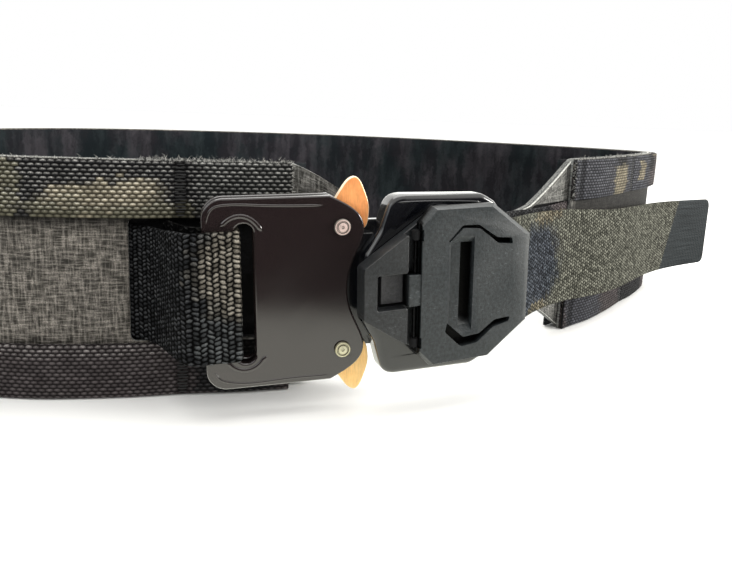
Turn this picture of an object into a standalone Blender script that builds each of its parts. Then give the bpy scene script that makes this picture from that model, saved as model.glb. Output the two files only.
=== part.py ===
"""Battle belt: a stiff laminate load belt, fastened in front by a metal quick-release buckle.

The belt stands on its lower edge. +Z is up, the buckle faces -Y and +X is to the right of somebody
who looks at the buckle. The plan drawing of the belt is in millimetres; PLAN_CENTRE is the point of
the drawing that lies at the origin, under the middle of the whole part.
"""

import math

import bmesh
import bpy
import numpy as np
from mathutils import Vector

MM = 0.001

# Heights above the floor, in millimetres
BELT_HEIGHT = 86.0
ROW_HEIGHT = 20.2
STRAP_WIDTH = 44.5
STRAP_THICKNESS = 1.8
GAP = 0.3
MID_HEIGHT = BELT_HEIGHT / 2

# Layers of the belt, measured inwards from the outer face of the webbing rows
WEBBING_THICKNESS = 2.2
PANEL_THICKNESS = 1.3
INNER_THICKNESS = 3.7
LINER_THICKNESS = 1.3
PANEL_DEPTH = WEBBING_THICKNESS + GAP
INNER_DEPTH = PANEL_DEPTH + PANEL_THICKNESS + GAP
LINER_DEPTH = INNER_DEPTH + INNER_THICKNESS + GAP
CHANNEL_DEPTH = STRAP_THICKNESS + GAP
CHANNEL_LOW = MID_HEIGHT - STRAP_WIDTH / 2 - 0.35
CHANNEL_HIGH = MID_HEIGHT + STRAP_WIDTH / 2 + 0.35
LINER_MARGIN = 0.5

# Webbing rows: the bays between bar tacks stand proud of the tacks
BAY_LENGTH = 38.0
COLUMNS_PER_BAY = 3
BAY_BULGE = 0.8

# Outer face of the belt in plan, from behind the buckle round the left end, the back and the right end
PLAN_CENTRE = (76.7, 351.405)
LOOP_STATIONS = (
    # x, y
    (60.0, 232.5),
    (22.0, 229.8),
    (-20.0, 229.9),
    (-54.7, 231.2),
    (-85.0, 236.0),
    (-118.0, 250.0),
    (-147.0, 278.0),
    (-164.0, 320.0),
    (-168.0, 365.0),
    (-160.0, 410.0),
    (-139.0, 449.0),
    (-104.0, 480.0),
    (-55.0, 497.0),
    (0.0, 502.0),
    (50.0, 500.0),
    (98.0, 490.0),
    (145.0, 471.0),
    (188.0, 446.0),
    (227.0, 418.0),
    (256.0, 393.0),
    (267.5, 371.5),
    (256.5, 354.2),
    (235.2, 334.8),
    (210.5, 315.2),
    (184.4, 295.7),
    (161.6, 281.8),
    (129.1, 260.7),
    (95.3, 242.8),
)

# Where the layers end, measured along the belt from the first station: to the left, then to the right
LEFT_TONGUE_END = 10.0
LEFT_LINER_END = 33.0
LEFT_WING_END = 39.0
LEFT_WINDOW_EDGE = 96.0
RIGHT_WING_END = 117.0
RIGHT_LINER_END = 114.0
RIGHT_TONGUE_END = 36.0
LEFT_TAPER = (
    # length along the belt, how far both edges are drawn in
    (0.0, 18.5),
    (10.0, 15.6),
    (15.0, 12.8),
    (21.3, 9.0),
    (26.3, 6.0),
    (31.4, 3.3),
    (36.0, 1.2),
    (38.8, 0.0),
)
RIGHT_TAPER = (
    # length along the belt, how far both edges are drawn in
    (36.0, 23.2),
    (66.0, 23.0),
    (76.0, 22.4),
    (84.7, 20.6),
    (96.5, 14.8),
    (108.2, 8.0),
    (117.0, 2.2),
    (121.0, 0.0),
)
TONGUE_RAIL = 1.2

# Female half of the buckle: its own frame has X along the plate, Y into the belt and Z up
BUCKLE_ROLL = 1.85
FEMALE_CORNER = (-9.0, 207.0, 43.6)
FEMALE_YAW = 3.1
PLATE_HALF_HEIGHT = 32.6
PLATE_THICKNESS = 2.4
PLATE_CORNER = 7.0
LEVER_THICKNESS = 2.6
LEVER_FRONT = PLATE_THICKNESS + GAP
BACK_PLATE_FRONT = LEVER_FRONT + LEVER_THICKNESS + GAP
FEMALE_THICKNESS = BACK_PLATE_FRONT + PLATE_THICKNESS
SLOT_LEFT = 10.0
SLOT_RIGHT = 16.5
SLOT_HALF_HEIGHT = 24.0
SLOT_CORNER = 1.2
RIVET_X = 46.2
RIVET_Z = 21.7
RIVET_SHANK = 1.7
RIVET_HOLE = 2.0
RIVET_HEAD = 2.85
PLATE_RIGHT_SIDE = (
    # x, z
    (42.0, 32.6),
    (47.2, 29.9),
    (50.9, 27.3),
    (52.9, 24.9),
    (53.9, 22.0),
    (53.8, 18.9),
    (52.7, 15.6),
    (51.2, 12.2),
    (49.7, 8.7),
    (48.6, 4.9),
    (48.1, 1.7),
)
STRAP_WRAP = STRAP_THICKNESS / 2 + 0.35
LEFT_STRAP_OFFSET = -0.3

# Male half and its cover: their own frame has X along the cover, Y into the belt and Z up
MALE_CORNER = (63.2, 202.9, 45.8)
MALE_YAW = 11.5
COVER_THICKNESS = 4.2
COVER_OUTLINE = ((0.0, 23.3), (5.1, 28.5), (29.3, 28.5), (45.6, 16.5))
TAB_SLOT_OUTER = ((10.6, 16.2), (16.0, 21.7), (22.6, 21.3), (30.4, 16.3), (37.0, 15.7))
TAB_SLOT_WIDTH = 1.6
POCKET_LEFT = 15.4
POCKET_RIGHT = 20.7
POCKET_HALF_HEIGHT = 16.8
POCKET_DEPTH = 2.7
STRIP_LEFT = 10.9
STRIP_HALF_HEIGHT = 16.0
STRIP_DEPTH = 0.6
PIN_X = -1.1
PIN_Y = 2.5
PIN_RADIUS = 0.7
PIN_HOLE = 0.95
PIN_HALF_LENGTH = 20.2
KNUCKLE_RADIUS = 1.75
KNUCKLE_LEFT = -4.2
KNUCKLE_FRONT = 0.8
KNUCKLE_HALF_HEIGHT = 5.6
EAR_RADIUS = 1.45
EAR_LOW = 17.4
EAR_HIGH = 20.8
EAR_NOTCH = 0.8
BASE_FRONT = 1.2
BASE_STEP = 4.7
BASE_BACK = 8.0
BASE_OUTLINE = ((-20.4, 8.9), (9.0, 28.2), (14.0, 28.2))
BASE_EDGE = -3.5
WINDOW_LEFT = -15.6
WINDOW_HALF_HEIGHT = 6.0
WINDOW_DEPTH = 5.2
HOUSING_CENTRE = -0.9
HOUSING_TURN = -2.2
HOUSING_FRONT = 8.3
HOUSING_BACK = 16.3
HOUSING_OUTLINE = (
    # x, z
    (-17.6, 11.0),
    (-12.2, 19.8),
    (-10.4, 26.0),
    (-9.3, 29.3),
    (-7.4, 31.4),
    (-4.6, 32.2),
    (28.0, 32.2),
    (33.6, 29.4),
    (38.6, 23.6),
    (39.6, 20.5),
)
HOUSING_RIGHT = 40.6
HOUSING_WINDOW = (10.5, 33.6)
HOUSING_WINDOW_HALF_HEIGHT = 23.3
ADJUSTER_X = 20.5
ADJUSTER_Y = 12.4
ADJUSTER_RADIUS = 2.2
TONGUE_START = 30.0
TONGUE_SHOULDER = 54.6
TONGUE_LENGTH_END = 59.4
TONGUE_HALF_HEIGHT = 13.0
SHOULDER_HALF_HEIGHT = 18.6

# Release lever, about its rivet, for the upper one; the lower one is its mirror image
LEVER_OUTLINE = (
    # x, z
    (5.2, -1.6),
    (8.5, -1.2),
    (9.9, 2.6),
    (9.9, 7.4),
    (8.5, 11.8),
    (6.8, 15.4),
    (5.2, 16.7),
    (3.6, 16.3),
    (0.6, 13.1),
    (-1.6, 9.7),
    (-3.4, 6.2),
    (-8.6, 3.4),
    (-9.2, 0.4),
    (-7.4, -1.6),
    (-4.8, -1.4),
)
LEVER_RING = 5.0

# Free runs of the straps in plan, in millimetres
LEFT_RAMP = (
    # x, y
    (-31.0, 233.0),
    (-26.4, 228.3),
    (-22.2, 220.4),
    (-18.2, 212.0),
    (-12.8, 205.9),
)
LEFT_RETURN = (
    # x, y
    (-7.5, 216.4),
    (-12.4, 217.6),
    (-16.0, 220.6),
    (-18.8, 224.8),
    (-21.3, 228.8),
    (-22.9, 231.4),
)
TAIL_ROUTE = (
    # x, y, height of the strap's middle
    (129.5, 249.5, 43.6),
    (159.5, 273.0, 41.2),
    (186.0, 289.8, 38.6),
    (213.0, 309.8, 36.9),
    (250.5, 342.0, 34.6),
    (286.5, 365.0, 33.0),
    (322.0, 381.0, 32.0),
)
TAIL_STEP = 9.0
TAIL_CORNER = 4.0

CAMOUFLAGE = (0.055, 0.052, 0.042, 1.0)


def material(name, colour, roughness, metallic=0.0):
    """A plain material with a part's colour, roughness and metallic value."""
    result = bpy.data.materials.new(name)
    result.use_nodes = True
    shader = result.node_tree.nodes["Principled BSDF"]
    shader.inputs["Base Color"].default_value = colour
    shader.inputs["Roughness"].default_value = roughness
    shader.inputs["Metallic"].default_value = metallic
    return result


def plan(x, y, z):
    """A point of the plan drawing and its height as metres from the origin."""
    return (x - PLAN_CENTRE[0]) * MM, (y - PLAN_CENTRE[1]) * MM, z * MM


def smooth_curve(points, closed, count):
    """Cubic spline through the points, as count points evenly spaced in chord length."""
    points = np.array(points, float)
    size = len(points)
    ahead = np.roll(points, -1, axis=0) - points
    spans = np.linalg.norm(ahead[:, :2], axis=1)
    system = np.zeros((size, size))
    wanted = np.zeros_like(points)
    for i in range(size):
        if not closed and i in (0, size - 1):
            system[i, i] = 1.0
            continue
        before, after = spans[i - 1], spans[i]
        system[i, i - 1] += before
        system[i, i] += 2 * (before + after)
        system[i, (i + 1) % size] += after
        wanted[i] = 6 * (ahead[i] / after - ahead[i - 1] / before)
    bend = np.linalg.solve(system, wanted)
    knots = np.concatenate([[0.0], np.cumsum(spans if closed else spans[:-1])])
    result = []
    for place in np.linspace(0.0, knots[-1], count):
        i = min(int(np.searchsorted(knots, place, side="right")) - 1, len(knots) - 2)
        j = (i + 1) % size
        span = spans[i]
        left = knots[i + 1] - place
        right = place - knots[i]
        arch = (bend[i] * left ** 3 + bend[j] * right ** 3) / (6 * span)
        chord = (points[i] / span - bend[i] * span / 6) * left + (points[j] / span - bend[j] * span / 6) * right
        result.append(arch + chord)
    return np.array(result)


class Loop:
    """The belt's closed outer line in plan, measured by length from its first station."""

    def __init__(self):
        self.points = smooth_curve(LOOP_STATIONS, True, 4001)
        steps = np.linalg.norm(np.diff(self.points, axis=0), axis=1)
        self.lengths = np.concatenate([[0.0], np.cumsum(steps)])
        self.total = self.lengths[-1]
        bays = round(self.total / BAY_LENGTH)
        self.column = self.total / (bays * COLUMNS_PER_BAY)

    def at(self, place, depth):
        """The point at a length along the belt and a depth inwards from its outer face."""
        x = np.interp(place, self.lengths, self.points[:, 0])
        y = np.interp(place, self.lengths, self.points[:, 1])
        x_after = np.interp(place + 0.5, self.lengths, self.points[:, 0])
        y_after = np.interp(place + 0.5, self.lengths, self.points[:, 1])
        x_before = np.interp(place - 0.5, self.lengths, self.points[:, 0])
        y_before = np.interp(place - 0.5, self.lengths, self.points[:, 1])
        along = Vector((x_after - x_before, y_after - y_before)).normalized()
        return x + along.y * depth, y - along.x * depth

    def columns(self, start, end):
        """Lengths from start to end, at the common columns and at both ends."""
        first = math.ceil((start + 1.5) / self.column)
        last = math.floor((end - 1.5) / self.column)
        return [start] + [i * self.column for i in range(first, last + 1)] + [end]

    def bulge(self, place):
        """How far a webbing row stands out at a length along the belt: 0 at a bar tack."""
        index = place / self.column
        if abs(index - round(index)) > 0.01 or round(index) % COLUMNS_PER_BAY == 0:
            return 0.0
        return BAY_BULGE


class Builder:
    """Makes the sub-parts and keeps them in the part's collection."""

    def __init__(self):
        scene = bpy.context.scene.collection
        self.parts = bpy.data.collections.new("battle_belt")
        self.cutters = bpy.data.collections.new("cutters")
        scene.children.link(self.parts)
        scene.children.link(self.cutters)

    def add(self, name, mesh, look, frame=None, location=(0.0, 0.0, 0.0), turn=0.0):
        """A sub-part, parented to its frame when it has one; turn is about the frame's X axis."""
        part = bpy.data.objects.new(name, mesh)
        self.parts.objects.link(part)
        part.parent = frame
        part.location = location
        part.rotation_euler = (turn, 0.0, 0.0)
        if look is not None:
            mesh.materials.clear()
            mesh.materials.append(look)
        return part

    def as_tool(self, tool):
        """Turns an object into a cutter that neither renders nor counts as a piece."""
        self.parts.objects.unlink(tool)
        self.cutters.objects.link(tool)
        tool.hide_render = True
        tool.display_type = "WIRE"
        return tool

    def frame(self, name, corner, yaw):
        """An empty that carries one half of the buckle."""
        empty = bpy.data.objects.new(name, None)
        self.parts.objects.link(empty)
        empty.location = plan(*corner)
        empty.rotation_euler = (0.0, -math.radians(BUCKLE_ROLL), math.radians(yaw))
        return empty

    def strip(self, name, edges, thickness, look, rows=(0.0, 1.0), keep=None):
        """A band between a lower and an upper edge, given as pairs of plan points.

        rows holds the shares of the height where the band is divided, and keep says for a column and
        a row whether the band is there.
        """
        columns = len(edges) - 1
        bands = len(rows) - 1
        grid = bmesh.new()
        bmesh.ops.create_grid(grid, x_segments=columns, y_segments=bands, size=0.5)
        cells = {}
        for face in grid.faces:
            middle = face.calc_center_median()
            cells[face] = (int((middle.x + 0.5) * columns), int((middle.y + 0.5) * bands))
        for vertex in grid.verts:
            low, high = edges[round((vertex.co.x + 0.5) * columns)]
            share = rows[round((vertex.co.y + 0.5) * bands)]
            vertex.co = plan(*[a + (b - a) * share for a, b in zip(low, high)])
        if keep is not None:
            unwanted = [face for face, cell in cells.items() if not keep(*cell)]
            bmesh.ops.delete(grid, geom=unwanted, context="FACES")
        mesh = bpy.data.meshes.new(name)
        bmesh.ops.recalc_face_normals(grid, faces=grid.faces)
        grid.to_mesh(mesh)
        grid.free()
        part = self.add(name, mesh, look)
        shell = part.modifiers.new("wall", "SOLIDIFY")
        shell.thickness = thickness * MM
        shell.offset = 0.0
        shell.use_even_offset = True
        return part

    def outline_solid(self, name, outlines, front, back, look, frame, pivot=(0.0, 0.0, 0.0)):
        """A flat piece cut to an outline in its frame's X and Z, from a front to a back depth.

        The first outline is the edge and the others are holes. pivot is the frame's point that
        becomes the piece's origin.
        """
        curve = bpy.data.curves.new(name, "CURVE")
        curve.dimensions = "2D"
        curve.fill_mode = "BOTH"
        curve.extrude = (back - front) / 2 * MM
        for outline in outlines:
            spline = curve.splines.new("POLY")
            spline.points.add(len(outline) - 1)
            for point, (x, z) in zip(spline.points, outline):
                point.co = ((x - pivot[0]) * MM, (z - pivot[2]) * MM, 0.0, 1.0)
            spline.use_cyclic_u = True
        sketch = bpy.data.objects.new(name + "_sketch", curve)
        bpy.context.scene.collection.objects.link(sketch)
        bpy.context.view_layer.update()
        ready = sketch.evaluated_get(bpy.context.evaluated_depsgraph_get())
        mesh = bpy.data.meshes.new_from_object(ready)
        bpy.data.objects.remove(sketch)
        solid = bmesh.new()
        solid.from_mesh(mesh)
        bmesh.ops.remove_doubles(solid, verts=solid.verts, dist=1e-6)
        middle = (front + back) / 2 - pivot[1]
        for vertex in solid.verts:
            vertex.co = (vertex.co.x, middle * MM - vertex.co.z, vertex.co.y)
        bmesh.ops.recalc_face_normals(solid, faces=solid.faces)
        solid.to_mesh(mesh)
        solid.free()
        return self.add(name, mesh, look, frame, Vector(pivot) * MM)

    def box(self, name, low, high, look, frame, pivot=(0.0, 0.0, 0.0)):
        """A block between two corners of its frame."""
        corners = [(low[0], low[2]), (high[0], low[2]), (high[0], high[2]), (low[0], high[2])]
        return self.outline_solid(name, [corners], low[1], high[1], look, frame, pivot)

    def rod(self, name, radius, centre, low, high, look, frame, sides=24, pivot=(0.0, 0.0, 0.0)):
        """An upright round bar in its frame, about centre (X, Y)."""
        mesh = bpy.data.meshes.new(name)
        solid = bmesh.new()
        bmesh.ops.create_cone(solid, cap_ends=True, segments=sides, radius1=radius * MM, radius2=radius * MM,
                              depth=(high - low) * MM)
        shift = Vector((centre[0] - pivot[0], centre[1] - pivot[1], (low + high) / 2 - pivot[2])) * MM
        bmesh.ops.translate(solid, verts=solid.verts, vec=shift)
        solid.to_mesh(mesh)
        solid.free()
        return self.add(name, mesh, look, frame, Vector(pivot) * MM)

    def combine(self, part, tool, operation):
        """Joins a tool to a part or cuts it away."""
        self.as_tool(tool)
        step = part.modifiers.new(tool.name, "BOOLEAN")
        step.operation = operation
        step.solver = "EXACT"
        step.object = tool


def arc(centre, radius, start, end, steps):
    """Points on an arc, from a start angle to an end angle in degrees."""
    angles = [math.radians(start + (end - start) * i / steps) for i in range(steps + 1)]
    return [(centre[0] + radius * math.cos(angle), centre[1] + radius * math.sin(angle)) for angle in angles]


def mirrored(half):
    """A closed outline from its upper half, which runs from left to right."""
    return list(half) + [(x, -z) for x, z in reversed(half)]


def frame_axes(yaw):
    """Along and up directions of a buckle frame: it is rolled, then turned about the vertical."""
    roll = math.radians(BUCKLE_ROLL)
    turn = math.radians(yaw)
    level = Vector((math.cos(turn), math.sin(turn), 0.0))
    rise = Vector((0.0, 0.0, 1.0))
    return level * math.cos(roll) + rise * math.sin(roll), rise * math.cos(roll) - level * math.sin(roll)


def frame_route(corner, yaw, points, height):
    """Middle points and up directions of a strap in a buckle frame, at a height in that frame."""
    along, up = frame_axes(yaw)
    inward = up.cross(along)
    return [(Vector(corner) + along * x + inward * y + up * height, up) for x, y in points]


def ease(value):
    """A smooth step from 0 to 1."""
    value = min(max(value, 0.0), 1.0)
    return value * value * (3 - 2 * value)


def drawn_in(loop, place):
    """How far the edges of the inner belt are drawn in at a length along it, for the tongues."""
    left = np.interp(place, *zip(*LEFT_TAPER))
    right = np.interp(loop.total - place, *zip(*RIGHT_TAPER))
    return float(max(left, right))


def make_inner_belt(builder, loop):
    """The inner laminate: thicker along both edges, with the strap's channel between them."""
    tongues = [place for place, _ in LEFT_TAPER[2:]] + [loop.total - place for place, _ in RIGHT_TAPER[1:]]
    places = loop.columns(LEFT_TONGUE_END, loop.total - RIGHT_TONGUE_END)
    places = [place for place in places if min(abs(place - other) for other in tongues) > 1.5]
    places = sorted(places + tongues)
    floor = INNER_DEPTH + CHANNEL_DEPTH
    back = INNER_DEPTH + INNER_THICKNESS
    solid = bmesh.new()
    rings = []
    for place in places:
        low = drawn_in(loop, place)
        high = BELT_HEIGHT - low
        channel_low = max(CHANNEL_LOW, low + TONGUE_RAIL)
        channel_high = BELT_HEIGHT - channel_low
        profile = ((INNER_DEPTH, low), (INNER_DEPTH, channel_low), (floor, channel_low), (floor, channel_high),
                   (INNER_DEPTH, channel_high), (INNER_DEPTH, high), (back, high), (back, low))
        rings.append([solid.verts.new(plan(*loop.at(place, depth), z)) for depth, z in profile])
    for ring, following in zip(rings, rings[1:]):
        for i in range(len(ring)):
            j = (i + 1) % len(ring)
            solid.faces.new((ring[i], ring[j], following[j], following[i]))
    solid.faces.new(rings[0])
    solid.faces.new(list(reversed(rings[-1])))
    bmesh.ops.recalc_face_normals(solid, faces=solid.faces)
    mesh = bpy.data.meshes.new("inner_belt")
    solid.to_mesh(mesh)
    solid.free()
    builder.add("inner_belt", mesh, material("inner_belt", (0.115, 0.112, 0.102, 1.0), 0.75))


def upright(path, low, high):
    """Lower and upper edge of an upright band along a path."""
    return [((x, y, low), (x, y, high)) for x, y in path]


def make_bands(builder, loop):
    """Liner, outer panel and the two webbing rows."""
    places = loop.columns(LEFT_LINER_END, loop.total - RIGHT_LINER_END)
    path = [loop.at(place, LINER_DEPTH + LINER_THICKNESS / 2) for place in places]
    builder.strip("inner_liner", upright(path, LINER_MARGIN, BELT_HEIGHT - LINER_MARGIN), LINER_THICKNESS,
                  material("inner_liner", (0.012, 0.018, 0.020, 1.0), 0.9))

    start, end = LEFT_WING_END, loop.total - RIGHT_WING_END
    places = sorted(loop.columns(start, end) + [LEFT_WINDOW_EDGE])
    path = [loop.at(place, PANEL_DEPTH + PANEL_THICKNESS / 2) for place in places]
    window = places.index(LEFT_WINDOW_EDGE)
    rows = (0.0, CHANNEL_LOW / BELT_HEIGHT, CHANNEL_HIGH / BELT_HEIGHT, 1.0)
    builder.strip("outer_panel", upright(path, 0.0, BELT_HEIGHT), PANEL_THICKNESS,
                  material("outer_panel", (0.125, 0.120, 0.105, 1.0), 0.7), rows,
                  lambda column, row: row != 1 or column >= window)

    places = loop.columns(start, end)
    path = [loop.at(place, WEBBING_THICKNESS / 2 - loop.bulge(place)) for place in places]
    for name, low in (("lower_webbing", 0.0), ("upper_webbing", BELT_HEIGHT - ROW_HEIGHT)):
        builder.strip(name, upright(path, low, low + ROW_HEIGHT), WEBBING_THICKNESS,
                      material(name, CAMOUFLAGE, 0.85))


def turned_between(points, first, last):
    """Pairs each point with an up direction that goes over from the first to the last."""
    steps = len(points) + 1
    return [(Vector(point), first.lerp(last, ease((i + 1) / steps)).normalized())
            for i, point in enumerate(points)]


def strap(builder, name, route, look, corner=0.0):
    """A strap along a route of middle points and up directions; corner rounds its free end."""
    half = STRAP_WIDTH / 2
    edges = []
    end = route[-1][0]
    for middle, up in route:
        left = max(corner - (end - middle).length, 0.0)
        reach = half - corner + math.sqrt(max(corner ** 2 - left ** 2, 0.0))
        edges.append((tuple(middle - up * reach), tuple(middle + up * reach)))
    return builder.strip(name, edges, STRAP_THICKNESS, look)


def make_left_strap(builder, loop):
    """From the middle of the back, out of the panel's window, round the plate's bar and back."""
    rise = Vector((0.0, 0.0, 1.0))
    depth = INNER_DEPTH + STRAP_THICKNESS / 2
    places = reversed(loop.columns(LEFT_WINDOW_EDGE - 1.5, loop.total / 2 - GAP / 2))
    channel = [(*loop.at(place, depth), MID_HEIGHT) for place in places]
    bar = frame_route(FEMALE_CORNER, FEMALE_YAW, [(2.0, -STRAP_WRAP)]
                      + arc((SLOT_LEFT, 0.0), STRAP_WRAP, -90, 0, 3)
                      + arc((SLOT_LEFT, FEMALE_THICKNESS), STRAP_WRAP, 0, 90, 3), LEFT_STRAP_OFFSET)
    ramp = [channel[-1]] + [(x, y, MID_HEIGHT) for x, y in LEFT_RAMP] + [tuple(middle) for middle, _ in bar[:2]]
    ramp = smooth_curve(ramp, False, 12)[1:-1]
    back = [(x, y, MID_HEIGHT) for x, y in LEFT_RETURN]
    up = bar[0][1]
    route = [(Vector(point), rise) for point in channel] + turned_between(ramp, rise, up) + bar[1:]
    route += turned_between(back, up, rise)
    strap(builder, "left_strap", route, material("left_strap", CAMOUFLAGE, 0.85))


def make_right_strap(builder, loop):
    """From the middle of the back to the male half, round its bar, and out again as the free tail."""
    rise = Vector((0.0, 0.0, 1.0))
    depth = INNER_DEPTH + STRAP_THICKNESS / 2
    places = loop.columns(loop.total / 2 + GAP / 2, loop.total - RIGHT_WING_END - 1.0)
    channel = [(*loop.at(place, depth), MID_HEIGHT) for place in places]
    cross_left, cross_right = HOUSING_WINDOW[1], HOUSING_RIGHT
    turn = ADJUSTER_RADIUS + STRAP_WRAP
    under = [(cross_right, HOUSING_BACK + STRAP_WRAP), (cross_left, HOUSING_BACK + STRAP_WRAP)]
    wrap = arc((ADJUSTER_X, ADJUSTER_Y), turn, 80, 280, 10)
    over = [(28.5, 8.0), (cross_left, HOUSING_FRONT - STRAP_WRAP)]
    over += arc((cross_right, HOUSING_FRONT), STRAP_WRAP, -90, -54, 2)
    turned = frame_route(MALE_CORNER, MALE_YAW, under + wrap + over, HOUSING_CENTRE)
    up = turned[0][1]
    start, end = Vector(channel[-1]), turned[0][0]
    reach = [start.lerp(end, share) for share in (0.25, 0.5, 0.75)]
    for point, share in zip(reach, (0.0, 0.2, 0.7)):
        point.z = start.z + (end.z - start.z) * share
    tail_points = [tuple(turned[-1][0])] + list(TAIL_ROUTE)
    length = sum(math.dist(a, b) for a, b in zip(tail_points, tail_points[1:]))
    tail = smooth_curve(tail_points, False, round(length / TAIL_STEP) + 1)
    direction = tail[-1] - tail[-2]
    direction /= np.linalg.norm(direction)
    rounding = [tail[-1] - direction * TAIL_CORNER * part for part in (1.0, 0.55, 0.2, 0.03)]
    free = list(tail[1:-1]) + rounding
    route = [(Vector(point), rise) for point in channel]
    route += [(reach[0], rise)] + turned_between(reach[1:], rise, up) + turned
    route += turned_between(free[:8], up, rise) + [(Vector(point), rise) for point in free[8:]]
    strap(builder, "right_strap", route, material("right_strap", CAMOUFLAGE, 0.85), TAIL_CORNER)


def plate_outline():
    """Edge of the female plates: square left end with round corners, lobes round the rivets, a waist."""
    corner = arc((PLATE_CORNER, PLATE_HALF_HEIGHT - PLATE_CORNER), PLATE_CORNER, 180, 90, 5)
    return mirrored(corner + list(PLATE_RIGHT_SIDE))


def rounded_slot():
    """Edge of the slot that the strap passes through."""
    points = []
    for x, z, start in ((SLOT_RIGHT, 1, 0), (SLOT_LEFT, 1, 90), (SLOT_LEFT, -1, 180), (SLOT_RIGHT, -1, 270)):
        centre_x = x - SLOT_CORNER if x == SLOT_RIGHT else x + SLOT_CORNER
        centre_z = z * (SLOT_HALF_HEIGHT - SLOT_CORNER)
        points += arc((centre_x, centre_z), SLOT_CORNER, start, start + 90, 3)
    return points


def rivet_hole(side):
    """Hole for a rivet: side is 1 for the upper one and -1 for the lower one."""
    return arc((RIVET_X, side * RIVET_Z), RIVET_HOLE, 0, 345, 23)


def make_female(builder):
    """Front and back plate, the two rivets and the two release levers."""
    frame = builder.frame("female_frame", FEMALE_CORNER, FEMALE_YAW)
    black = material("buckle_plate", (0.012, 0.010, 0.009, 1.0), 0.22)
    outlines = [plate_outline(), rounded_slot(), rivet_hole(1), rivet_hole(-1)]
    front = builder.outline_solid("buckle_front_plate", outlines, 0.0, PLATE_THICKNESS, black, frame)
    spacer = builder.box("bar_spacer", (0.6, PLATE_THICKNESS / 2, -27.0),
                         (SLOT_LEFT - 0.2, BACK_PLATE_FRONT - GAP, 27.0), None, frame)
    builder.combine(front, spacer, "UNION")
    builder.outline_solid("buckle_back_plate", outlines, BACK_PLATE_FRONT, FEMALE_THICKNESS, black, frame)
    bronze = material("lever", (0.80, 0.40, 0.17, 1.0), 0.35, 0.9)
    steel = material("rivet", (0.62, 0.58, 0.54, 1.0), 0.3, 1.0)
    for name, side in (("upper", 1), ("lower", -1)):
        pivot = (RIVET_X, LEVER_FRONT + LEVER_THICKNESS / 2, side * RIVET_Z)
        ring = arc((0.0, 0.0), LEVER_RING, 220, 340, 6)
        shape = [(RIVET_X + x, side * (RIVET_Z + z)) for x, z in list(LEVER_OUTLINE) + ring]
        builder.outline_solid(name + "_lever", [shape, rivet_hole(side)], LEVER_FRONT,
                              LEVER_FRONT + LEVER_THICKNESS, bronze, frame, pivot)
        make_rivet(builder, name + "_rivet", side, steel, frame)


def make_rivet(builder, name, side, look, frame):
    """A turned rivet with a domed head in front and a flatter one behind."""
    front = -GAP
    behind = FEMALE_THICKNESS + GAP
    profile = ((0.0, -front + 1.0), (1.5, -front + 0.9), (2.4, -front + 0.6), (RIVET_HEAD, -front + 0.2),
               (RIVET_HEAD, -front), (RIVET_SHANK, -front), (RIVET_SHANK, -behind), (RIVET_HEAD, -behind),
               (RIVET_HEAD, -behind - 0.5), (2.2, -behind - 0.9), (0.0, -behind - 1.0))
    mesh = bpy.data.meshes.new(name)
    vertices = [(x * MM, 0.0, z * MM) for x, z in profile]
    mesh.from_pydata(vertices, [(i, i + 1) for i in range(len(vertices) - 1)], [])
    part = builder.add(name, mesh, look, frame, (RIVET_X * MM, 0.0, side * RIVET_Z * MM), math.pi / 2)
    turn = part.modifiers.new("turn", "SCREW")
    turn.steps = 20
    turn.render_steps = 20
    turn.use_merge_vertices = True
    turn.merge_threshold = 0.00001


def make_male(builder):
    """Metal housing with its tongue, the adjuster bar, and the hinged cover on its base."""
    frame = builder.frame("male_frame", MALE_CORNER, MALE_YAW)
    female = bpy.data.objects["female_frame"]
    black = material("male_housing", (0.012, 0.012, 0.013, 1.0), 0.25)
    turn = math.radians(HOUSING_TURN)
    edge = [(x * math.cos(turn) - z * math.sin(turn), x * math.sin(turn) + z * math.cos(turn))
            for x, z in mirrored(HOUSING_OUTLINE)]
    window = mirrored([(x, HOUSING_WINDOW_HALF_HEIGHT) for x in HOUSING_WINDOW])
    outlines = [[(x, z + HOUSING_CENTRE) for x, z in outline] for outline in (edge, window)]
    housing = builder.outline_solid("male_housing", outlines, HOUSING_FRONT, HOUSING_BACK, black, frame)
    tongue_shape = mirrored([(TONGUE_START, TONGUE_HALF_HEIGHT - 3.0), (TONGUE_START + 4.0, TONGUE_HALF_HEIGHT),
                             (TONGUE_SHOULDER, TONGUE_HALF_HEIGHT), (TONGUE_SHOULDER + 0.2, SHOULDER_HALF_HEIGHT),
                             (TONGUE_LENGTH_END, SHOULDER_HALF_HEIGHT)])
    tongue = builder.outline_solid("tongue", [tongue_shape], LEVER_FRONT, LEVER_FRONT + LEVER_THICKNESS,
                                   None, female)
    builder.combine(housing, tongue, "UNION")
    reach = HOUSING_WINDOW_HALF_HEIGHT - GAP
    builder.rod("adjuster_bar", ADJUSTER_RADIUS, (ADJUSTER_X, ADJUSTER_Y), HOUSING_CENTRE - reach,
                HOUSING_CENTRE + reach, material("adjuster_bar", (0.02, 0.02, 0.02, 1.0), 0.3, 0.6), frame)
    make_cover_base(builder, frame)
    make_cover(builder, frame)
    builder.rod("hinge_pin", PIN_RADIUS, (PIN_X, PIN_Y), -PIN_HALF_LENGTH, PIN_HALF_LENGTH,
                material("hinge_pin", (0.55, 0.55, 0.55, 1.0), 0.3, 1.0), frame, 16)


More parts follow.
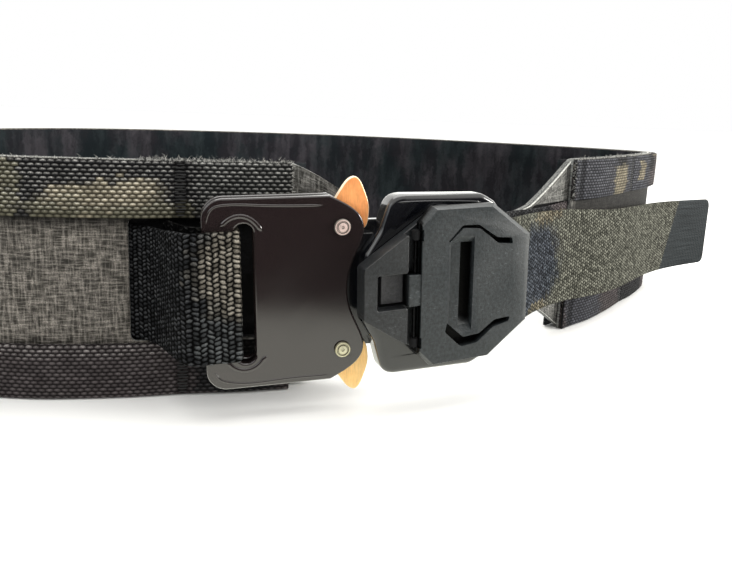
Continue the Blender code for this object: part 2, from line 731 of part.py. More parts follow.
def make_cover_base(builder, frame):
    """Polymer base in front of the housing: a raised left part with a window, and the pin's ears."""
    polymer = material("cover_base", (0.050, 0.058, 0.060, 1.0), 0.55)
    base = builder.outline_solid("cover_base", [mirrored(BASE_OUTLINE)], BASE_FRONT, BASE_BACK, polymer, frame)
    step = builder.box("base_step", (BASE_EDGE, BASE_FRONT - 1.0, -40.0), (20.0, BASE_STEP, 40.0), None, frame)
    builder.combine(base, step, "DIFFERENCE")
    window = builder.box("base_window", (WINDOW_LEFT, BASE_FRONT - 1.0, -WINDOW_HALF_HEIGHT),
                         (3.0, BASE_FRONT + WINDOW_DEPTH, WINDOW_HALF_HEIGHT), None, frame)
    builder.combine(base, window, "DIFFERENCE")
    for name, low, high in (("upper", EAR_LOW, EAR_HIGH), ("lower", -EAR_HIGH, -EAR_LOW)):
        ear = builder.rod(name + "_ear", EAR_RADIUS, (PIN_X, PIN_Y), low, high, None, frame, 20)
        builder.combine(base, ear, "UNION")
        foot = builder.box(name + "_ear_foot", (BASE_EDGE - 1.0, PIN_Y - EAR_RADIUS + 0.2, low + 0.05),
                           (PIN_X + 0.2, BASE_STEP + 1.0, high - 0.05), None, frame)
        builder.combine(base, foot, "UNION")
    hole = builder.rod("base_pin_hole", PIN_HOLE, (PIN_X, PIN_Y), -30.0, 30.0, None, frame, 16)
    builder.combine(base, hole, "DIFFERENCE")


def make_cover(builder, frame):
    """The eight-sided cover with its sprung tab, finger pocket and hinge knuckle."""
    pivot = (PIN_X, PIN_Y, 0.0)
    polymer = material("cover_plate", (0.060, 0.068, 0.070, 1.0), 0.5)
    cover = builder.outline_solid("cover_plate", [mirrored(COVER_OUTLINE)], 0.0, COVER_THICKNESS, polymer,
                                  frame, pivot)
    rim = cover.modifiers.new("rim", "BEVEL")
    rim.width = 0.9 * MM
    rim.segments = 1
    rim.limit_method = "ANGLE"
    rim.angle_limit = math.radians(60)
    for name, side in (("upper", 1), ("lower", -1)):
        outer = [(x, side * z) for x, z in TAB_SLOT_OUTER]
        inner = [(x + TAB_SLOT_WIDTH * (0.9 - 0.25 * i), side * (z - TAB_SLOT_WIDTH * (0.5 + 0.12 * i)))
                 for i, (x, z) in enumerate(TAB_SLOT_OUTER)]
        slot = builder.outline_solid(name + "_tab_slot", [outer + inner[::-1]], -1.0, COVER_THICKNESS + 1.0,
                                     None, frame)
        builder.combine(cover, slot, "DIFFERENCE")
        notch = sorted((side * (EAR_LOW - GAP), side * (EAR_HIGH + GAP)))
        room = builder.box(name + "_ear_room", (-1.0, -1.0, notch[0]),
                           (EAR_NOTCH, COVER_THICKNESS + 1.0, notch[1]), None, frame)
        builder.combine(cover, room, "DIFFERENCE")
    strip = builder.box("tab_strip", (STRIP_LEFT, -1.0, -STRIP_HALF_HEIGHT),
                        (POCKET_LEFT + 0.5, STRIP_DEPTH, STRIP_HALF_HEIGHT), None, frame)
    builder.combine(cover, strip, "DIFFERENCE")
    pocket = builder.box("finger_pocket", (POCKET_LEFT, -1.0, -POCKET_HALF_HEIGHT),
                         (POCKET_RIGHT, POCKET_DEPTH, POCKET_HALF_HEIGHT), None, frame)
    builder.combine(cover, pocket, "DIFFERENCE")
    knuckle = builder.rod("knuckle", KNUCKLE_RADIUS, (PIN_X, PIN_Y), -KNUCKLE_HALF_HEIGHT, KNUCKLE_HALF_HEIGHT,
                          None, frame, 20)
    builder.combine(cover, knuckle, "UNION")
    lug = builder.box("lug", (KNUCKLE_LEFT, KNUCKLE_FRONT, 0.1 - KNUCKLE_HALF_HEIGHT),
                      (2.0, PIN_Y + 0.3, KNUCKLE_HALF_HEIGHT - 0.1), None, frame)
    builder.combine(cover, lug, "UNION")
    hole = builder.rod("cover_pin_hole", PIN_HOLE, (PIN_X, PIN_Y), -30.0, 30.0, None, frame, 16)
    builder.combine(cover, hole, "DIFFERENCE")


def clear_scene():
    """Removes what the scene holds."""
    for item in list(bpy.data.objects):
        bpy.data.objects.remove(item)


def main():
    clear_scene()
    builder = Builder()
    loop = Loop()
    make_inner_belt(builder, loop)
    make_bands(builder, loop)
    make_left_strap(builder, loop)
    make_right_strap(builder, loop)
    make_female(builder)
    make_male(builder)


main()
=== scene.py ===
"""Battle belt, dressed: woven camouflage webbing, hatched laminate, a buckle and its hinged cover.

The plan drawing of the belt is in millimetres and its point PLAN_CENTRE is the origin, as in the model.
Along is the length round the belt from the first station, and depth is measured inwards from the outer
face of the webbing rows. Each half of the buckle has its own frame: X along it, Y into the belt, Z up.
"""

import math

import bmesh
import bpy
import numpy as np
from mathutils import Matrix, Vector


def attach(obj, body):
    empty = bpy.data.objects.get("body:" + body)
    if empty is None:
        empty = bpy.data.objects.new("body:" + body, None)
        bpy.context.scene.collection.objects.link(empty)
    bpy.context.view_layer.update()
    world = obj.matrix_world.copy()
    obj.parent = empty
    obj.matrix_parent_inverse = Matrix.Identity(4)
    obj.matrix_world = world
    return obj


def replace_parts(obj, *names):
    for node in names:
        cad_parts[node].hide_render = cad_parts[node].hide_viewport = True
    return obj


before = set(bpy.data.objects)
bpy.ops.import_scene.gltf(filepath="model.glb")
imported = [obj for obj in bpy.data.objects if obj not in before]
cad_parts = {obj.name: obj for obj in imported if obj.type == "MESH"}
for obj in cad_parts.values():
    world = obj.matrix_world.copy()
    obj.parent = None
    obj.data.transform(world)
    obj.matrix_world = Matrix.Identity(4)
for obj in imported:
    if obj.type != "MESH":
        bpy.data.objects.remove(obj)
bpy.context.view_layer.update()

MM = 0.001

# Heights and layers of the belt
BELT_HEIGHT = 86.0
ROW_HEIGHT = 20.2
STRAP_WIDTH = 44.5
STRAP_THICKNESS = 1.8
GAP = 0.3
MID_HEIGHT = BELT_HEIGHT / 2
WEBBING_THICKNESS = 2.2
PANEL_THICKNESS = 1.3
INNER_THICKNESS = 3.7
LINER_THICKNESS = 1.3
PANEL_DEPTH = WEBBING_THICKNESS + GAP
INNER_DEPTH = PANEL_DEPTH + PANEL_THICKNESS + GAP
LINER_DEPTH = INNER_DEPTH + INNER_THICKNESS + GAP
CHANNEL_FLOOR = INNER_DEPTH + STRAP_THICKNESS + GAP
CHANNEL_LOW = MID_HEIGHT - STRAP_WIDTH / 2 - 0.35
CHANNEL_HIGH = MID_HEIGHT + STRAP_WIDTH / 2 + 0.35
LINER_MARGIN = 0.5
PANEL_MARGIN = 10.0
PANEL_MIDDLE = (28.0, 58.0)
BAND_STEP = 3.0

# Weave of the rows, in a brick layout, and of the straps, in columns that lean to and fro
WEAVE_PITCH = 2.6
WEAVE_ROW = ROW_HEIGHT / 14
STRAP_PITCH = 2.2
STRAP_ROW = STRAP_WIDTH / 27
STRAP_LEAN = 0.42
WEAVE_RELIEF = 0.28
SIDE_RELIEF = 0.4
SIDE_WAVE = 0.12
SAMPLES_ALONG = 4
SAMPLES_ACROSS = 3
SELVEDGE = 0.7
CHAMFER_ACROSS = 0.15
CHAMFER_DEPTH = 0.25
BACK_SHARES = (0.97, 0.8, 0.6, 0.4, 0.2, 0.03)

# Bar tacks of the webbing rows
TACK_START = 77.8
TACK_SPACING = 65.9
TACK_LENGTH = 4.6
TACK_THREADS = 17
TACK_RADIUS = 0.3
TACK_MARGIN = 1.2
TACK_DEPTH = 0.3
TACK_PRESS = 0.35
TACK_FADE = 2.5
TACKED_RELIEF = 0.25
BAY_BULGE = 0.8
BAY_CROWN = 0.45
BAY_RISE = 16.0

# Loose fibres on the edges of the webbing
FIBRE_RADIUS = 0.085
FIBRE_LENGTH = 1.5
FIBRE_SHARES = np.array([0.0, 0.5, 1.0])
FRINGE_COUNT = 170
FRINGE_RADIUS = 1.4 * FIBRE_RADIUS

# Outer face of the belt in plan, from behind the buckle round the left end, the back and the right end
PLAN_CENTRE = (76.7, 351.405)
LOOP_STATIONS = (
    # x, y
    (60.0, 232.5),
    (22.0, 229.8),
    (-20.0, 229.9),
    (-54.7, 231.2),
    (-85.0, 236.0),
    (-118.0, 250.0),
    (-147.0, 278.0),
    (-164.0, 320.0),
    (-168.0, 365.0),
    (-160.0, 410.0),
    (-139.0, 449.0),
    (-104.0, 480.0),
    (-55.0, 497.0),
    (0.0, 502.0),
    (50.0, 500.0),
    (98.0, 490.0),
    (145.0, 471.0),
    (188.0, 446.0),
    (227.0, 418.0),
    (256.0, 393.0),
    (267.5, 371.5),
    (256.5, 354.2),
    (235.2, 334.8),
    (210.5, 315.2),
    (184.4, 295.7),
    (161.6, 281.8),
    (129.1, 260.7),
    (95.3, 242.8),
)
LEFT_TONGUE_END = 10.0
LEFT_LINER_END = 33.0
LEFT_WING_END = 39.0
LEFT_WINDOW_EDGE = 96.0
WINDOW_CORNER = 2.2
RIGHT_WING_END = 117.0
RIGHT_LINER_END = 114.0
RIGHT_TONGUE_END = 36.0
LEFT_TAPER = (
    # length along the belt, how far both edges are drawn in
    (0.0, 18.5),
    (10.0, 15.6),
    (15.0, 12.8),
    (21.3, 9.0),
    (26.3, 6.0),
    (31.4, 3.3),
    (36.0, 1.2),
    (38.8, 0.0),
)
RIGHT_TAPER = (
    # length along the belt, how far both edges are drawn in
    (36.0, 23.2),
    (66.0, 23.0),
    (76.0, 22.4),
    (84.7, 20.6),
    (96.5, 14.8),
    (108.2, 8.0),
    (117.0, 2.2),
    (121.0, 0.0),
)
TONGUE_RAIL = 1.2
PLIES = (
    # depth into the inner belt, notch of its edge
    (0.0, 0.0),
    (0.9, 0.0),
    (1.05, 0.35),
    (1.75, 0.35),
    (1.9, 0.0),
    (INNER_THICKNESS, 0.0),
)

# Female half of the buckle
BUCKLE_ROLL = 1.85
FEMALE_CORNER = (-9.0, 207.0, 43.6)
FEMALE_YAW = 3.1
PLATE_HALF_HEIGHT = 32.6
PLATE_THICKNESS = 2.4
PLATE_CORNER = 7.0
PLATE_EDGE = 0.7
BACK_PLATE_EDGE = 0.6
PLATE_WAIST = (48.0, 0.0)
SPACER_LEFT = 0.9
SPACER_HALF_HEIGHT = 27.0
SPACER_CORNER = 1.0
SPACER_EDGE = 0.3
SPACER_SINK = 0.2
LEVER_THICKNESS = 2.6
LEVER_EDGE = 0.45
LEVER_FRONT = PLATE_THICKNESS + GAP
BACK_PLATE_FRONT = LEVER_FRONT + LEVER_THICKNESS + GAP
FEMALE_THICKNESS = BACK_PLATE_FRONT + PLATE_THICKNESS
SLOT_LEFT = 10.0
SLOT_RIGHT = 16.5
SLOT_HALF_HEIGHT = 24.0
RIVET_X = 46.2
RIVET_Z = 21.7
RIVET_HOLE = 2.0
PLATE_RIGHT_SIDE = (
    # x, z
    (42.0, 32.6),
    (47.2, 29.9),
    (50.9, 27.3),
    (52.9, 24.9),
    (53.9, 22.0),
    (53.8, 18.9),
    (52.7, 15.6),
    (51.2, 12.2),
    (49.7, 8.7),
    (48.6, 4.9),
    (48.1, 1.7),
)
STRAP_WRAP = STRAP_THICKNESS / 2 + 0.35
LEFT_STRAP_OFFSET = -0.3
LEVER_OUTLINE = (
    # x, z
    (5.2, -1.6),
    (8.5, -1.2),
    (9.9, 2.6),
    (9.9, 7.4),
    (8.5, 11.8),
    (6.8, 15.4),
    (5.2, 16.7),
    (3.6, 16.3),
    (0.6, 13.1),
    (-1.6, 9.7),
    (-3.4, 6.2),
    (-8.6, 3.4),
    (-9.2, 0.4),
    (-7.4, -1.6),
    (-4.8, -1.4),
)
LEVER_TIP_POINTS = 11
LEVER_RING = 5.0
RIVET_BACK = FEMALE_THICKNESS + GAP
RIVET_PROFILE = (
    # radius, depth
    (0.05, -1.05),
    (0.3, -1.05),
    (0.55, -1.35),
    (1.1, -1.32),
    (1.55, -1.2),
    (1.75, -0.75),
    (1.95, -0.7),
    (2.2, -1.12),
    (2.6, -1.1),
    (2.83, -0.8),
    (2.85, -0.32),
    (1.7, -0.3),
    (1.7, RIVET_BACK),
    (2.85, RIVET_BACK),
    (2.85, RIVET_BACK + 0.5),
    (2.2, RIVET_BACK + 0.9),
    (0.05, RIVET_BACK + 1.0),
)
RIM_DEPTH = 0.02
PRESSED_RIMS = (
    # name, width, height, points x and z
    ("upper_rim", 0.9, 0.28,
     ((1.7, 24.6), (2.3, 27.6), (4.0, 29.6), (6.8, 30.3), (18.0, 30.0), (39.5, 29.3))),
    ("lower_rim", 0.9, 0.28,
     ((2.6, -26.0), (4.2, -28.6), (7.5, -30.1), (25.3, -30.7), (41.5, -30.9))),
    ("upper_slot_rim", 1.7, 0.4,
     ((6.0, 23.2), (8.4, 25.4), (12.4, 26.6), (15.9, 25.3), (19.2, 21.4))),
    ("lower_slot_rim", 1.7, 0.4,
     ((6.6, -22.6), (9.2, -25.2), (12.9, -26.3), (16.6, -25.2), (19.9, -21.6))),
)

# Male half of the buckle and its cover
MALE_CORNER = (63.2, 202.9, 45.8)
MALE_YAW = 11.5
COVER_THICKNESS = 4.2
COVER_OUTLINE = ((0.0, 23.3), (5.1, 28.5), (29.3, 28.5), (45.6, 16.5))
COVER_SLOPES = (1.1, 0.9, 1.6, 3.0, 1.6, 0.9, 1.1, 0.35)
UPPER_TAB_SLOT = (
    # x, z, width towards the middle
    (10.6, 16.4, 0.6),
    (16.0, 21.7, 1.0),
    (22.6, 21.5, 1.4),
    (30.4, 16.4, 2.2),
    (36.6, 15.9, 2.3),
)
LOWER_TAB_SLOT = (
    # x, z, width towards the middle
    (10.0, -16.4, 3.4),
    (16.6, -22.6, 3.5),
    (23.4, -22.0, 3.4),
    (30.0, -17.0, 2.8),
    (36.8, -15.6, 1.8),
)
TAB_SLOT_CORNER = 0.7
SLOPE_DEPTH = 1.5
RIM_STEP_DEPTH = 1.9
RIM_STEP = 0.15
COVER_FLOOR = 0.5
COVER_SOFTNESS = 0.22
SOFT_ANGLE = 28.0
POCKET_DEPTH = 1.2
POCKET_LIP = ((10.9, 15.6), (15.6, 18.0), (20.9, 17.4), (20.9, -17.0), (15.2, -18.2), (10.9, -15.8))
POCKET_FLOOR = ((12.0, 14.8), (15.4, 16.0), (20.7, 15.8), (20.7, -15.0), (15.4, -15.2), (12.0, -14.8))
GROOVE_TOP_DEPTH = 0.5
GROOVE_DEPTH = 3.4
GROOVE_TOP = ((15.6, 15.8), (20.8, 15.6), (20.8, -15.6), (15.6, -16.2))
GROOVE_FLOOR = ((16.6, 15.2), (20.8, 15.0), (20.8, -12.2), (16.6, -10.6))
LUG_HALF = ((-4.2, 5.6), (1.0, 5.6))
LUG_SLOPES = (0.3, 0.0, 0.3, 0.3)
LUG_DEPTHS = (0.35, 0.65, 4.1)
EAR_ROOM = 0.8
PIN_X = -1.1
PIN_Y = 2.5
BASE_FRONT = 1.2
BASE_STEP = 4.7
BASE_BACK = 8.0
BASE_OUTLINE = ((-20.4, 8.9), (9.0, 28.2), (14.0, 28.2))
BASE_EDGE = -4.1
BASE_CORNER = 1.2
FRAME_CORNER = 0.9
POLYMER_EDGE = 0.35
FLOOR_EDGE = 0.2
WINDOW_LEFT = -15.6
WINDOW_RIGHT = 3.2
WINDOW_HALF_HEIGHT = 6.0
WINDOW_FLOOR_FRONT = 4.8
WINDOW_FLOOR_LEFT = WINDOW_LEFT + 2.9
WINDOW_FLOOR_RIGHT = -4.5
WINDOW_FLOOR_TOP = 5.3
WINDOW_FLOOR_BOTTOM = -4.9
FRAME_INNER_HALF_HEIGHT = 6.1
FRAME_SLOPE = 19.3 / 29.4
BACK_INSET = 0.2
# black sheet behind the base's window: painted shade round the window floor
SHADE_SHEET_FRONT = BASE_BACK - 1.0
SHADE_SHEET_MARGIN = 0.5
FRAME_BACK = BASE_STEP + 0.6
EAR_RADIUS = 1.45
EAR_LOW = 17.4
EAR_HIGH = 20.8
EAR_EDGE = 0.25
HOUSING_CENTRE = -0.9
HOUSING_TURN = -2.2
HOUSING_RAISE = 0.4
HOUSING_EDGE = 1.9
HOUSING_CORNER = 1.4
HOUSING_RIDGE = ((-5.1, 29.6), (10.0, 29.2), (27.9, 28.1))
HOUSING_RIDGE_WIDTH = 0.8
HOUSING_RIDGE_HEIGHT = 0.35
HOUSING_FRONT = 8.3
HOUSING_BACK = 16.3
HOUSING_OUTLINE = (
    # x, z
    (-17.6, 11.0),
    (-12.2, 19.8),
    (-10.4, 26.0),
    (-9.3, 29.3),
    (-7.4, 31.4),
    (-4.6, 32.2),
    (28.0, 32.2),
    (33.6, 29.4),
    (38.6, 23.6),
    (39.6, 20.5),
)
HOUSING_RIGHT = 40.6
HOUSING_WINDOW = (10.5, 33.6)
HOUSING_WINDOW_HALF_HEIGHT = 23.3
HOUSING_WINDOW_CORNER = 1.5
ADJUSTER_X = 20.5
ADJUSTER_Y = 12.4
ADJUSTER_RADIUS = 2.2
TONGUE_START = 30.0
TONGUE_SHOULDER = 54.6
TONGUE_END = 59.4
TONGUE_HALF_HEIGHT = 13.0
TONGUE_EDGE = 0.3
SHOULDER_HALF_HEIGHT = 18.6
SHOULDER_CORNER = 0.8
SHOULDER_EDGE = 0.4
TONGUE_STEP = TONGUE_SHOULDER - 3.4
TONGUE_OUTLINE = (
    # x, z
    (TONGUE_START, TONGUE_HALF_HEIGHT - 3.0),
    (TONGUE_START + 4.0, TONGUE_HALF_HEIGHT),
    (TONGUE_STEP, TONGUE_HALF_HEIGHT),
    (TONGUE_STEP, SHOULDER_HALF_HEIGHT),
    (TONGUE_END, SHOULDER_HALF_HEIGHT),
)
SHOULDER_OUTLINE = (
    # x, z
    (TONGUE_SHOULDER - 0.3, 20.0),
    (TONGUE_SHOULDER + 1.6, 23.0),
    (TONGUE_END + 1.6, 23.0),
)

# Free runs of the straps in plan
LEFT_EXIT = LEFT_WINDOW_EDGE - 1.5
LEFT_WOVEN_BEFORE = 14.0
LEFT_TUCK = 2.3
RIGHT_WOVEN_BEFORE = 10.0
TUCK_START = 10.0
TUCK_FADE = 26.0
TUCK_LIMIT = -13.0
LEFT_RAMP = (
    # x, y
    (-31.0, 233.0),
    (-26.4, 228.3),
    (-22.2, 220.4),
    (-18.2, 212.0),
    (-12.8, 205.9),
)
LEFT_RETURN = (
    # x, y
    (-7.5, 216.4),
    (-12.4, 217.6),
    (-16.0, 220.6),
    (-18.8, 224.8),
    (-21.3, 228.8),
    (-22.9, 231.4),
)
RIGHT_REACH = (
    # share of the way to the adjuster, share of the climb
    (0.25, 0.0),
    (0.5, 0.2),
    (0.75, 0.7),
)
TAIL_ROUTE = (
    # x, y, height of the strap's middle
    (129.5, 249.5, 43.6),
    (159.5, 273.0, 41.2),
    (186.0, 289.8, 38.6),
    (213.0, 309.8, 36.9),
    (250.5, 342.0, 34.6),
    (286.5, 365.0, 33.0),
    (322.0, 381.0, 32.0),
)
TAIL_CORNER = 4.0
OVER_ADJUSTER = (28.5, 8.0)
TAIL_LEAVING_ANGLE = -54.0

# Camera, which stands over the zero point of the plan drawing
CAMERA_HEIGHT = 106.0
CAMERA_HEADING = 12.0
CAMERA_PITCH = 9.85
CAMERA_ROLL = 2.2
IMAGE_WIDTH = 732
FOCAL_PIXELS = 640.0
CENTRE_DROP = 72.0
SENSOR_WIDTH = 36.0

# Floor and light, in metres
FLOOR_HALF = 6.0
FLOOR_DROP = 0.0002
LIT_POINT = Vector((0.0, 0.0, 0.04))
SOFTBOXES = (
    # name, place, size, power, tint
    ("ceiling_softbox", (0.0, 0.1, 0.9), 0.9, 7.0, (1.0, 0.99, 0.96)),
    ("left_fill", (-0.7, -0.9, 0.5), 0.5, 0.7, (0.86, 0.93, 1.0)),
    ("right_fill", (1.0, -0.35, 0.25), 0.45, 15.0, (1.0, 0.98, 0.93)),
)

# Soft light all round: the direction's height or depth where each part fades in, and its tone
CEILING_FADE = (0.10, 0.55)
CEILING_TONE = (1.3, 1.29, 1.24, 1.0)
GROUND_FADE = (-0.29, -0.33)
GROUND_TONE = (1.35, 1.35, 1.2, 1.0)
FAR_FADE = (-0.2, 0.5)
FAR_TONE = (2.1, 2.1, 2.02, 1.0)
NEAR_TONE = (0.03, 0.028, 0.03, 1.0)
SEEN_TONE = (1.0, 1.0, 1.0, 1.0)

RISE = Vector((0.0, 0.0, 1.0))


def colour(red, green, blue):
    """A colour from display values, 0 to 255, as the shader's linear values."""
    def linear(value):
        value /= 255.0
        return value / 12.92 if value <= 0.04045 else ((value + 0.055) / 1.055) ** 2.4
    return (linear(red), linear(green), linear(blue), 1.0)


def to_metres(points):
    """Plan points in millimetres as metres from the origin."""
    return (np.asarray(points, float) - (*PLAN_CENTRE, 0.0)) * MM


def smooth_curve(points, closed, count):
    """Cubic spline through the points, as count points evenly spaced in chord length."""
    points = np.array(points, float)
    size = len(points)
    ahead = np.roll(points, -1, axis=0) - points
    spans = np.linalg.norm(ahead[:, :2], axis=1)
    system = np.zeros((size, size))
    wanted = np.zeros_like(points)
    for i in range(size):
        if not closed and i in (0, size - 1):
            system[i, i] = 1.0
            continue
        before, after = spans[i - 1], spans[i]
        system[i, i - 1] += before
        system[i, i] += 2 * (before + after)
        system[i, (i + 1) % size] += after
        wanted[i] = 6 * (ahead[i] / after - ahead[i - 1] / before)
    bend = np.linalg.solve(system, wanted)
    knots = np.concatenate([[0.0], np.cumsum(spans if closed else spans[:-1])])
    places = np.linspace(0.0, knots[-1], count)
    index = np.clip(np.searchsorted(knots, places, side="right") - 1, 0, len(knots) - 2)
    after = (index + 1) % size
    span = spans[index][:, None]
    left = (knots[index + 1] - places)[:, None]
    right = (places - knots[index])[:, None]
    arch = (bend[index] * left ** 3 + bend[after] * right ** 3) / (6 * span)
    near = (points[index] / span - bend[index] * span / 6) * left
    far = (points[after] / span - bend[after] * span / 6) * right
    return arch + near + far


def running_length(points):
    """Length from the first point to each point."""
    steps = np.linalg.norm(np.diff(np.asarray(points, float), axis=0), axis=1)
    return np.concatenate([[0.0], np.cumsum(steps)])


class Loop:
    """The belt's closed outer line in plan, measured by length from its first station."""

    def __init__(self):
        self.points = smooth_curve(LOOP_STATIONS, True, 4001)
        self.lengths = running_length(self.points)
        self.total = self.lengths[-1]

    def line(self, place):
        """Points of the outer line at lengths along the belt."""
        x = np.interp(place, self.lengths, self.points[:, 0])
        y = np.interp(place, self.lengths, self.points[:, 1])
        return x, y

    def at(self, place, depth):
        """Points at lengths along the belt and depths inwards from its outer face."""
        x, y = self.line(place)
        x_after, y_after = self.line(np.asarray(place) + 0.5)
        x_before, y_before = self.line(np.asarray(place) - 0.5)
        length = np.hypot(x_after - x_before, y_after - y_before)
        return x + (y_after - y_before) / length * depth, y - (x_after - x_before) / length * depth


loop = Loop()
RIGHT_END = loop.total - RIGHT_WING_END
FIBRE_RUNS = (
    # start and end along the belt, how far the fibres point up, number per mm
    (LEFT_WING_END, 92.0, 1.0, 16.0),
    (92.0, 150.0, 0.7, 5.0),
    (RIGHT_END - 90.0, RIGHT_END, 0.8, 10.0),
)


def arc(centre, radius, start, end, steps):
    """Points on an arc, from a start angle to an end angle in degrees."""
    angles = [math.radians(start + (end - start) * i / steps) for i in range(steps + 1)]
    return [(centre[0] + radius * math.cos(angle), centre[1] + radius * math.sin(angle))
            for angle in angles]


def mirrored(half):
    """A closed outline from its upper half, which runs from left to right."""
    return list(half) + [(x, -z) for x, z in reversed(half)]


def rounded(outline, radius, steps=4):
    """A closed outline with each corner replaced by an arc-like curve."""
    result = []
    count = len(outline)
    for i in range(count):
        before, corner, after = (Vector(outline[(i + k) % count]) for k in (-1, 0, 1))
        reach = min(radius, (before - corner).length * 0.45, (after - corner).length * 0.45)
        start = corner + (before - corner).normalized() * reach
        end = corner + (after - corner).normalized() * reach
        for k in range(steps + 1):
            share = k / steps
            point = start.lerp(corner, share).lerp(corner.lerp(end, share), share)
            result.append((point.x, point.y))
    return result


def inset(outline, distances):
    """A closed outline with each edge moved inwards by its own distance; it turns clockwise."""
    count = len(outline)
    lines = []
    for i in range(count):
        start, end = Vector(outline[i]), Vector(outline[(i + 1) % count])
        along = (end - start).normalized()
        inwards = Vector((along.y, -along.x))
        lines.append((start + inwards * distances[i], along))
    result = []
    for i in range(count):
        (a, u), (b, v) = lines[i - 1], lines[i]
        share = ((b.x - a.x) * v.y - (b.y - a.y) * v.x) / (u.x * v.y - u.y * v.x)
        result.append(tuple(a + u * share))
    return result


def ease(value):
    """A smooth step from 0 to 1."""
    value = np.clip(value, 0.0, 1.0)
    return value * value * (3 - 2 * value)


# Shader building


class Tree:
    """Adds nodes to a node tree; an input takes a socket or a plain value."""

    def __init__(self, tree):
        self.tree = tree

    def set(self, socket, value):
        if isinstance(value, bpy.types.NodeSocket):
            self.tree.links.new(value, socket)
        else:
            socket.default_value = value

    def add(self, kind, inputs=(), **settings):
        """Adds a node and gives its output sockets."""
        node = self.tree.nodes.new("ShaderNode" + kind)
        for name, value in settings.items():
            setattr(node, name, value)
        for name, value in dict(inputs).items():
            self.set(node.inputs[name], value)
        return node.outputs

    def group(self, group, inputs):
        return self.add("Group", inputs, node_tree=group)

    def math(self, operation, *values):
        return self.add("Math", enumerate(values), operation=operation)[0]

    def plus(self, first, second):
        return self.math("ADD", first, second)

    def minus(self, first, second):
        return self.math("SUBTRACT", first, second)

    def times(self, first, *factors):
        for factor in factors:
            first = self.math("MULTIPLY", first, factor)
        return first

    def times_plus(self, first, factor, added):
        return self.math("MULTIPLY_ADD", first, factor, added)

    def range(self, value, low, high, at_low=0.0, at_high=1.0, smooth=False):
        """Goes from at_low to at_high while the value goes from low to high."""
        inputs = enumerate((value, low, high, at_low, at_high))
        kind = "SMOOTHSTEP" if smooth else "LINEAR"
        return self.add("MapRange", inputs, interpolation_type=kind)[0]

    def between(self, share, at_zero, at_one):
        return self.range(share, 0.0, 1.0, at_zero, at_one)

    def vector(self, operation, *values):
        return self.add("VectorMath", enumerate(values), operation=operation)[0]

    def scaled(self, tone, factor):
        return self.add("VectorMath", {0: tone, "Scale": factor}, operation="SCALE")[0]

    def stretched(self, vector, x, y, z=1.0):
        return self.vector("MULTIPLY", vector, (x, y, z))

    def split(self, vector):
        return self.add("SeparateXYZ", {0: vector})

    def join(self, x, y):
        return self.add("CombineXYZ", {0: x, 1: y})[0]

    def mix(self, factor, first, second):
        return self.add("Mix", {0: factor, 6: first, 7: second}, data_type="RGBA")[2]

    def noise(self, vector, scale, detail=2.0, roughness=0.5, distortion=0.0, output="Fac"):
        inputs = {"Vector": vector, "Scale": scale, "Detail": detail, "Roughness": roughness,
                  "Distortion": distortion}
        return self.add("TexNoise", inputs)[output]

    def streaks(self, vector, stretch, detail, roughness):
        return self.noise(self.stretched(vector, *stretch), 1.0, detail, roughness)

    def drift(self, vector, scale, detail, roughness, reach):
        """An uneven shift, up to about a third of the reach either way."""
        around = self.noise(vector, scale, detail, roughness, output="Color")
        return self.vector("MULTIPLY", self.vector("SUBTRACT", around, (0.5, 0.5, 0.5)), reach)


def new_group(name, inputs, outputs):
    """An empty shader group with its tree builder, its input and its output sockets."""
    group = bpy.data.node_groups.new(name, "ShaderNodeTree")
    for side, sockets in (("INPUT", inputs), ("OUTPUT", outputs)):
        for label, kind in sockets.items():
            group.interface.new_socket(label, in_out=side, socket_type="NodeSocket" + kind)
    start = group.nodes.new("NodeGroupInput").outputs
    end = group.nodes.new("NodeGroupOutput").inputs
    return group, Tree(group), start, end


WEAVE_OUTPUTS = {"Height": "Float", "Painted Highlight": "Float", "Cell": "Vector", "Tone": "Float"}


def half_wave(t, share, power):
    """0 at both ends of a share, 1 in its middle."""
    return t.math("POWER", t.math("SINE", t.times(share, math.pi)), power)


def uneven(t, vector, reach):
    """A place in the weave, moved about as the yarn wanders."""
    return t.vector("ADD", vector, t.drift(vector, 0.4, 2.0, 0.6, (reach, reach * 0.6, 0.0)))


def counted(t, place):
    """The whole number of a place, and the share that is left over."""
    whole = t.math("FLOOR", place)
    return whole, t.minus(place, whole)


def close_weave(t, start, end, height, painted_highlight, across, run, cell):
    """Outputs of a weave group; painted highlights sit on a float's upper side, an arch over its
    middle.
    """
    line = t.times_plus(t.math("SINE", t.times(run, math.pi)), 0.2, 0.48)
    away = t.math("ABSOLUTE", t.minus(across, line))
    frayed = t.range(t.noise(start["Vector"], 2.6, 2.0, 0.6), 0.36, 0.6, 0.15, 1.0)
    t.set(end["Height"], height)
    # painted highlight, broken up where the yarn frays
    t.set(end["Painted Highlight"], t.times(painted_highlight, frayed, t.range(away, 0.26, 0.09, smooth=True)))
    t.set(end["Cell"], cell)
    t.set(end["Tone"], t.add("TexWhiteNoise", {"Vector": cell}, noise_dimensions="2D")["Value"])


def make_row_weave_group():
    """Floats of the webbing rows, laid like bricks."""
    group, t, start, end = new_group("row weave", {"Vector": "Vector"}, WEAVE_OUTPUTS)
    along, up, _ = t.split(uneven(t, start["Vector"], 0.7))
    row, across = counted(t, t.math("DIVIDE", up, WEAVE_ROW))
    shift = t.times(t.math("FLOORED_MODULO", row, 2.0), 0.5)
    column, run = counted(t, t.plus(t.math("DIVIDE", along, WEAVE_PITCH), shift))
    float_height = t.times_plus(half_wave(t, run, 1.3), 0.75, 0.25)
    height = t.times(half_wave(t, across, 0.9), float_height)
    middle = t.times(t.minus(t.plus(column, 0.5), shift), WEAVE_PITCH)
    cell = t.join(middle, t.times(t.plus(row, 0.5), WEAVE_ROW))
    close_weave(t, start, end, height, half_wave(t, run, 1.6), across, run, cell)
    return group


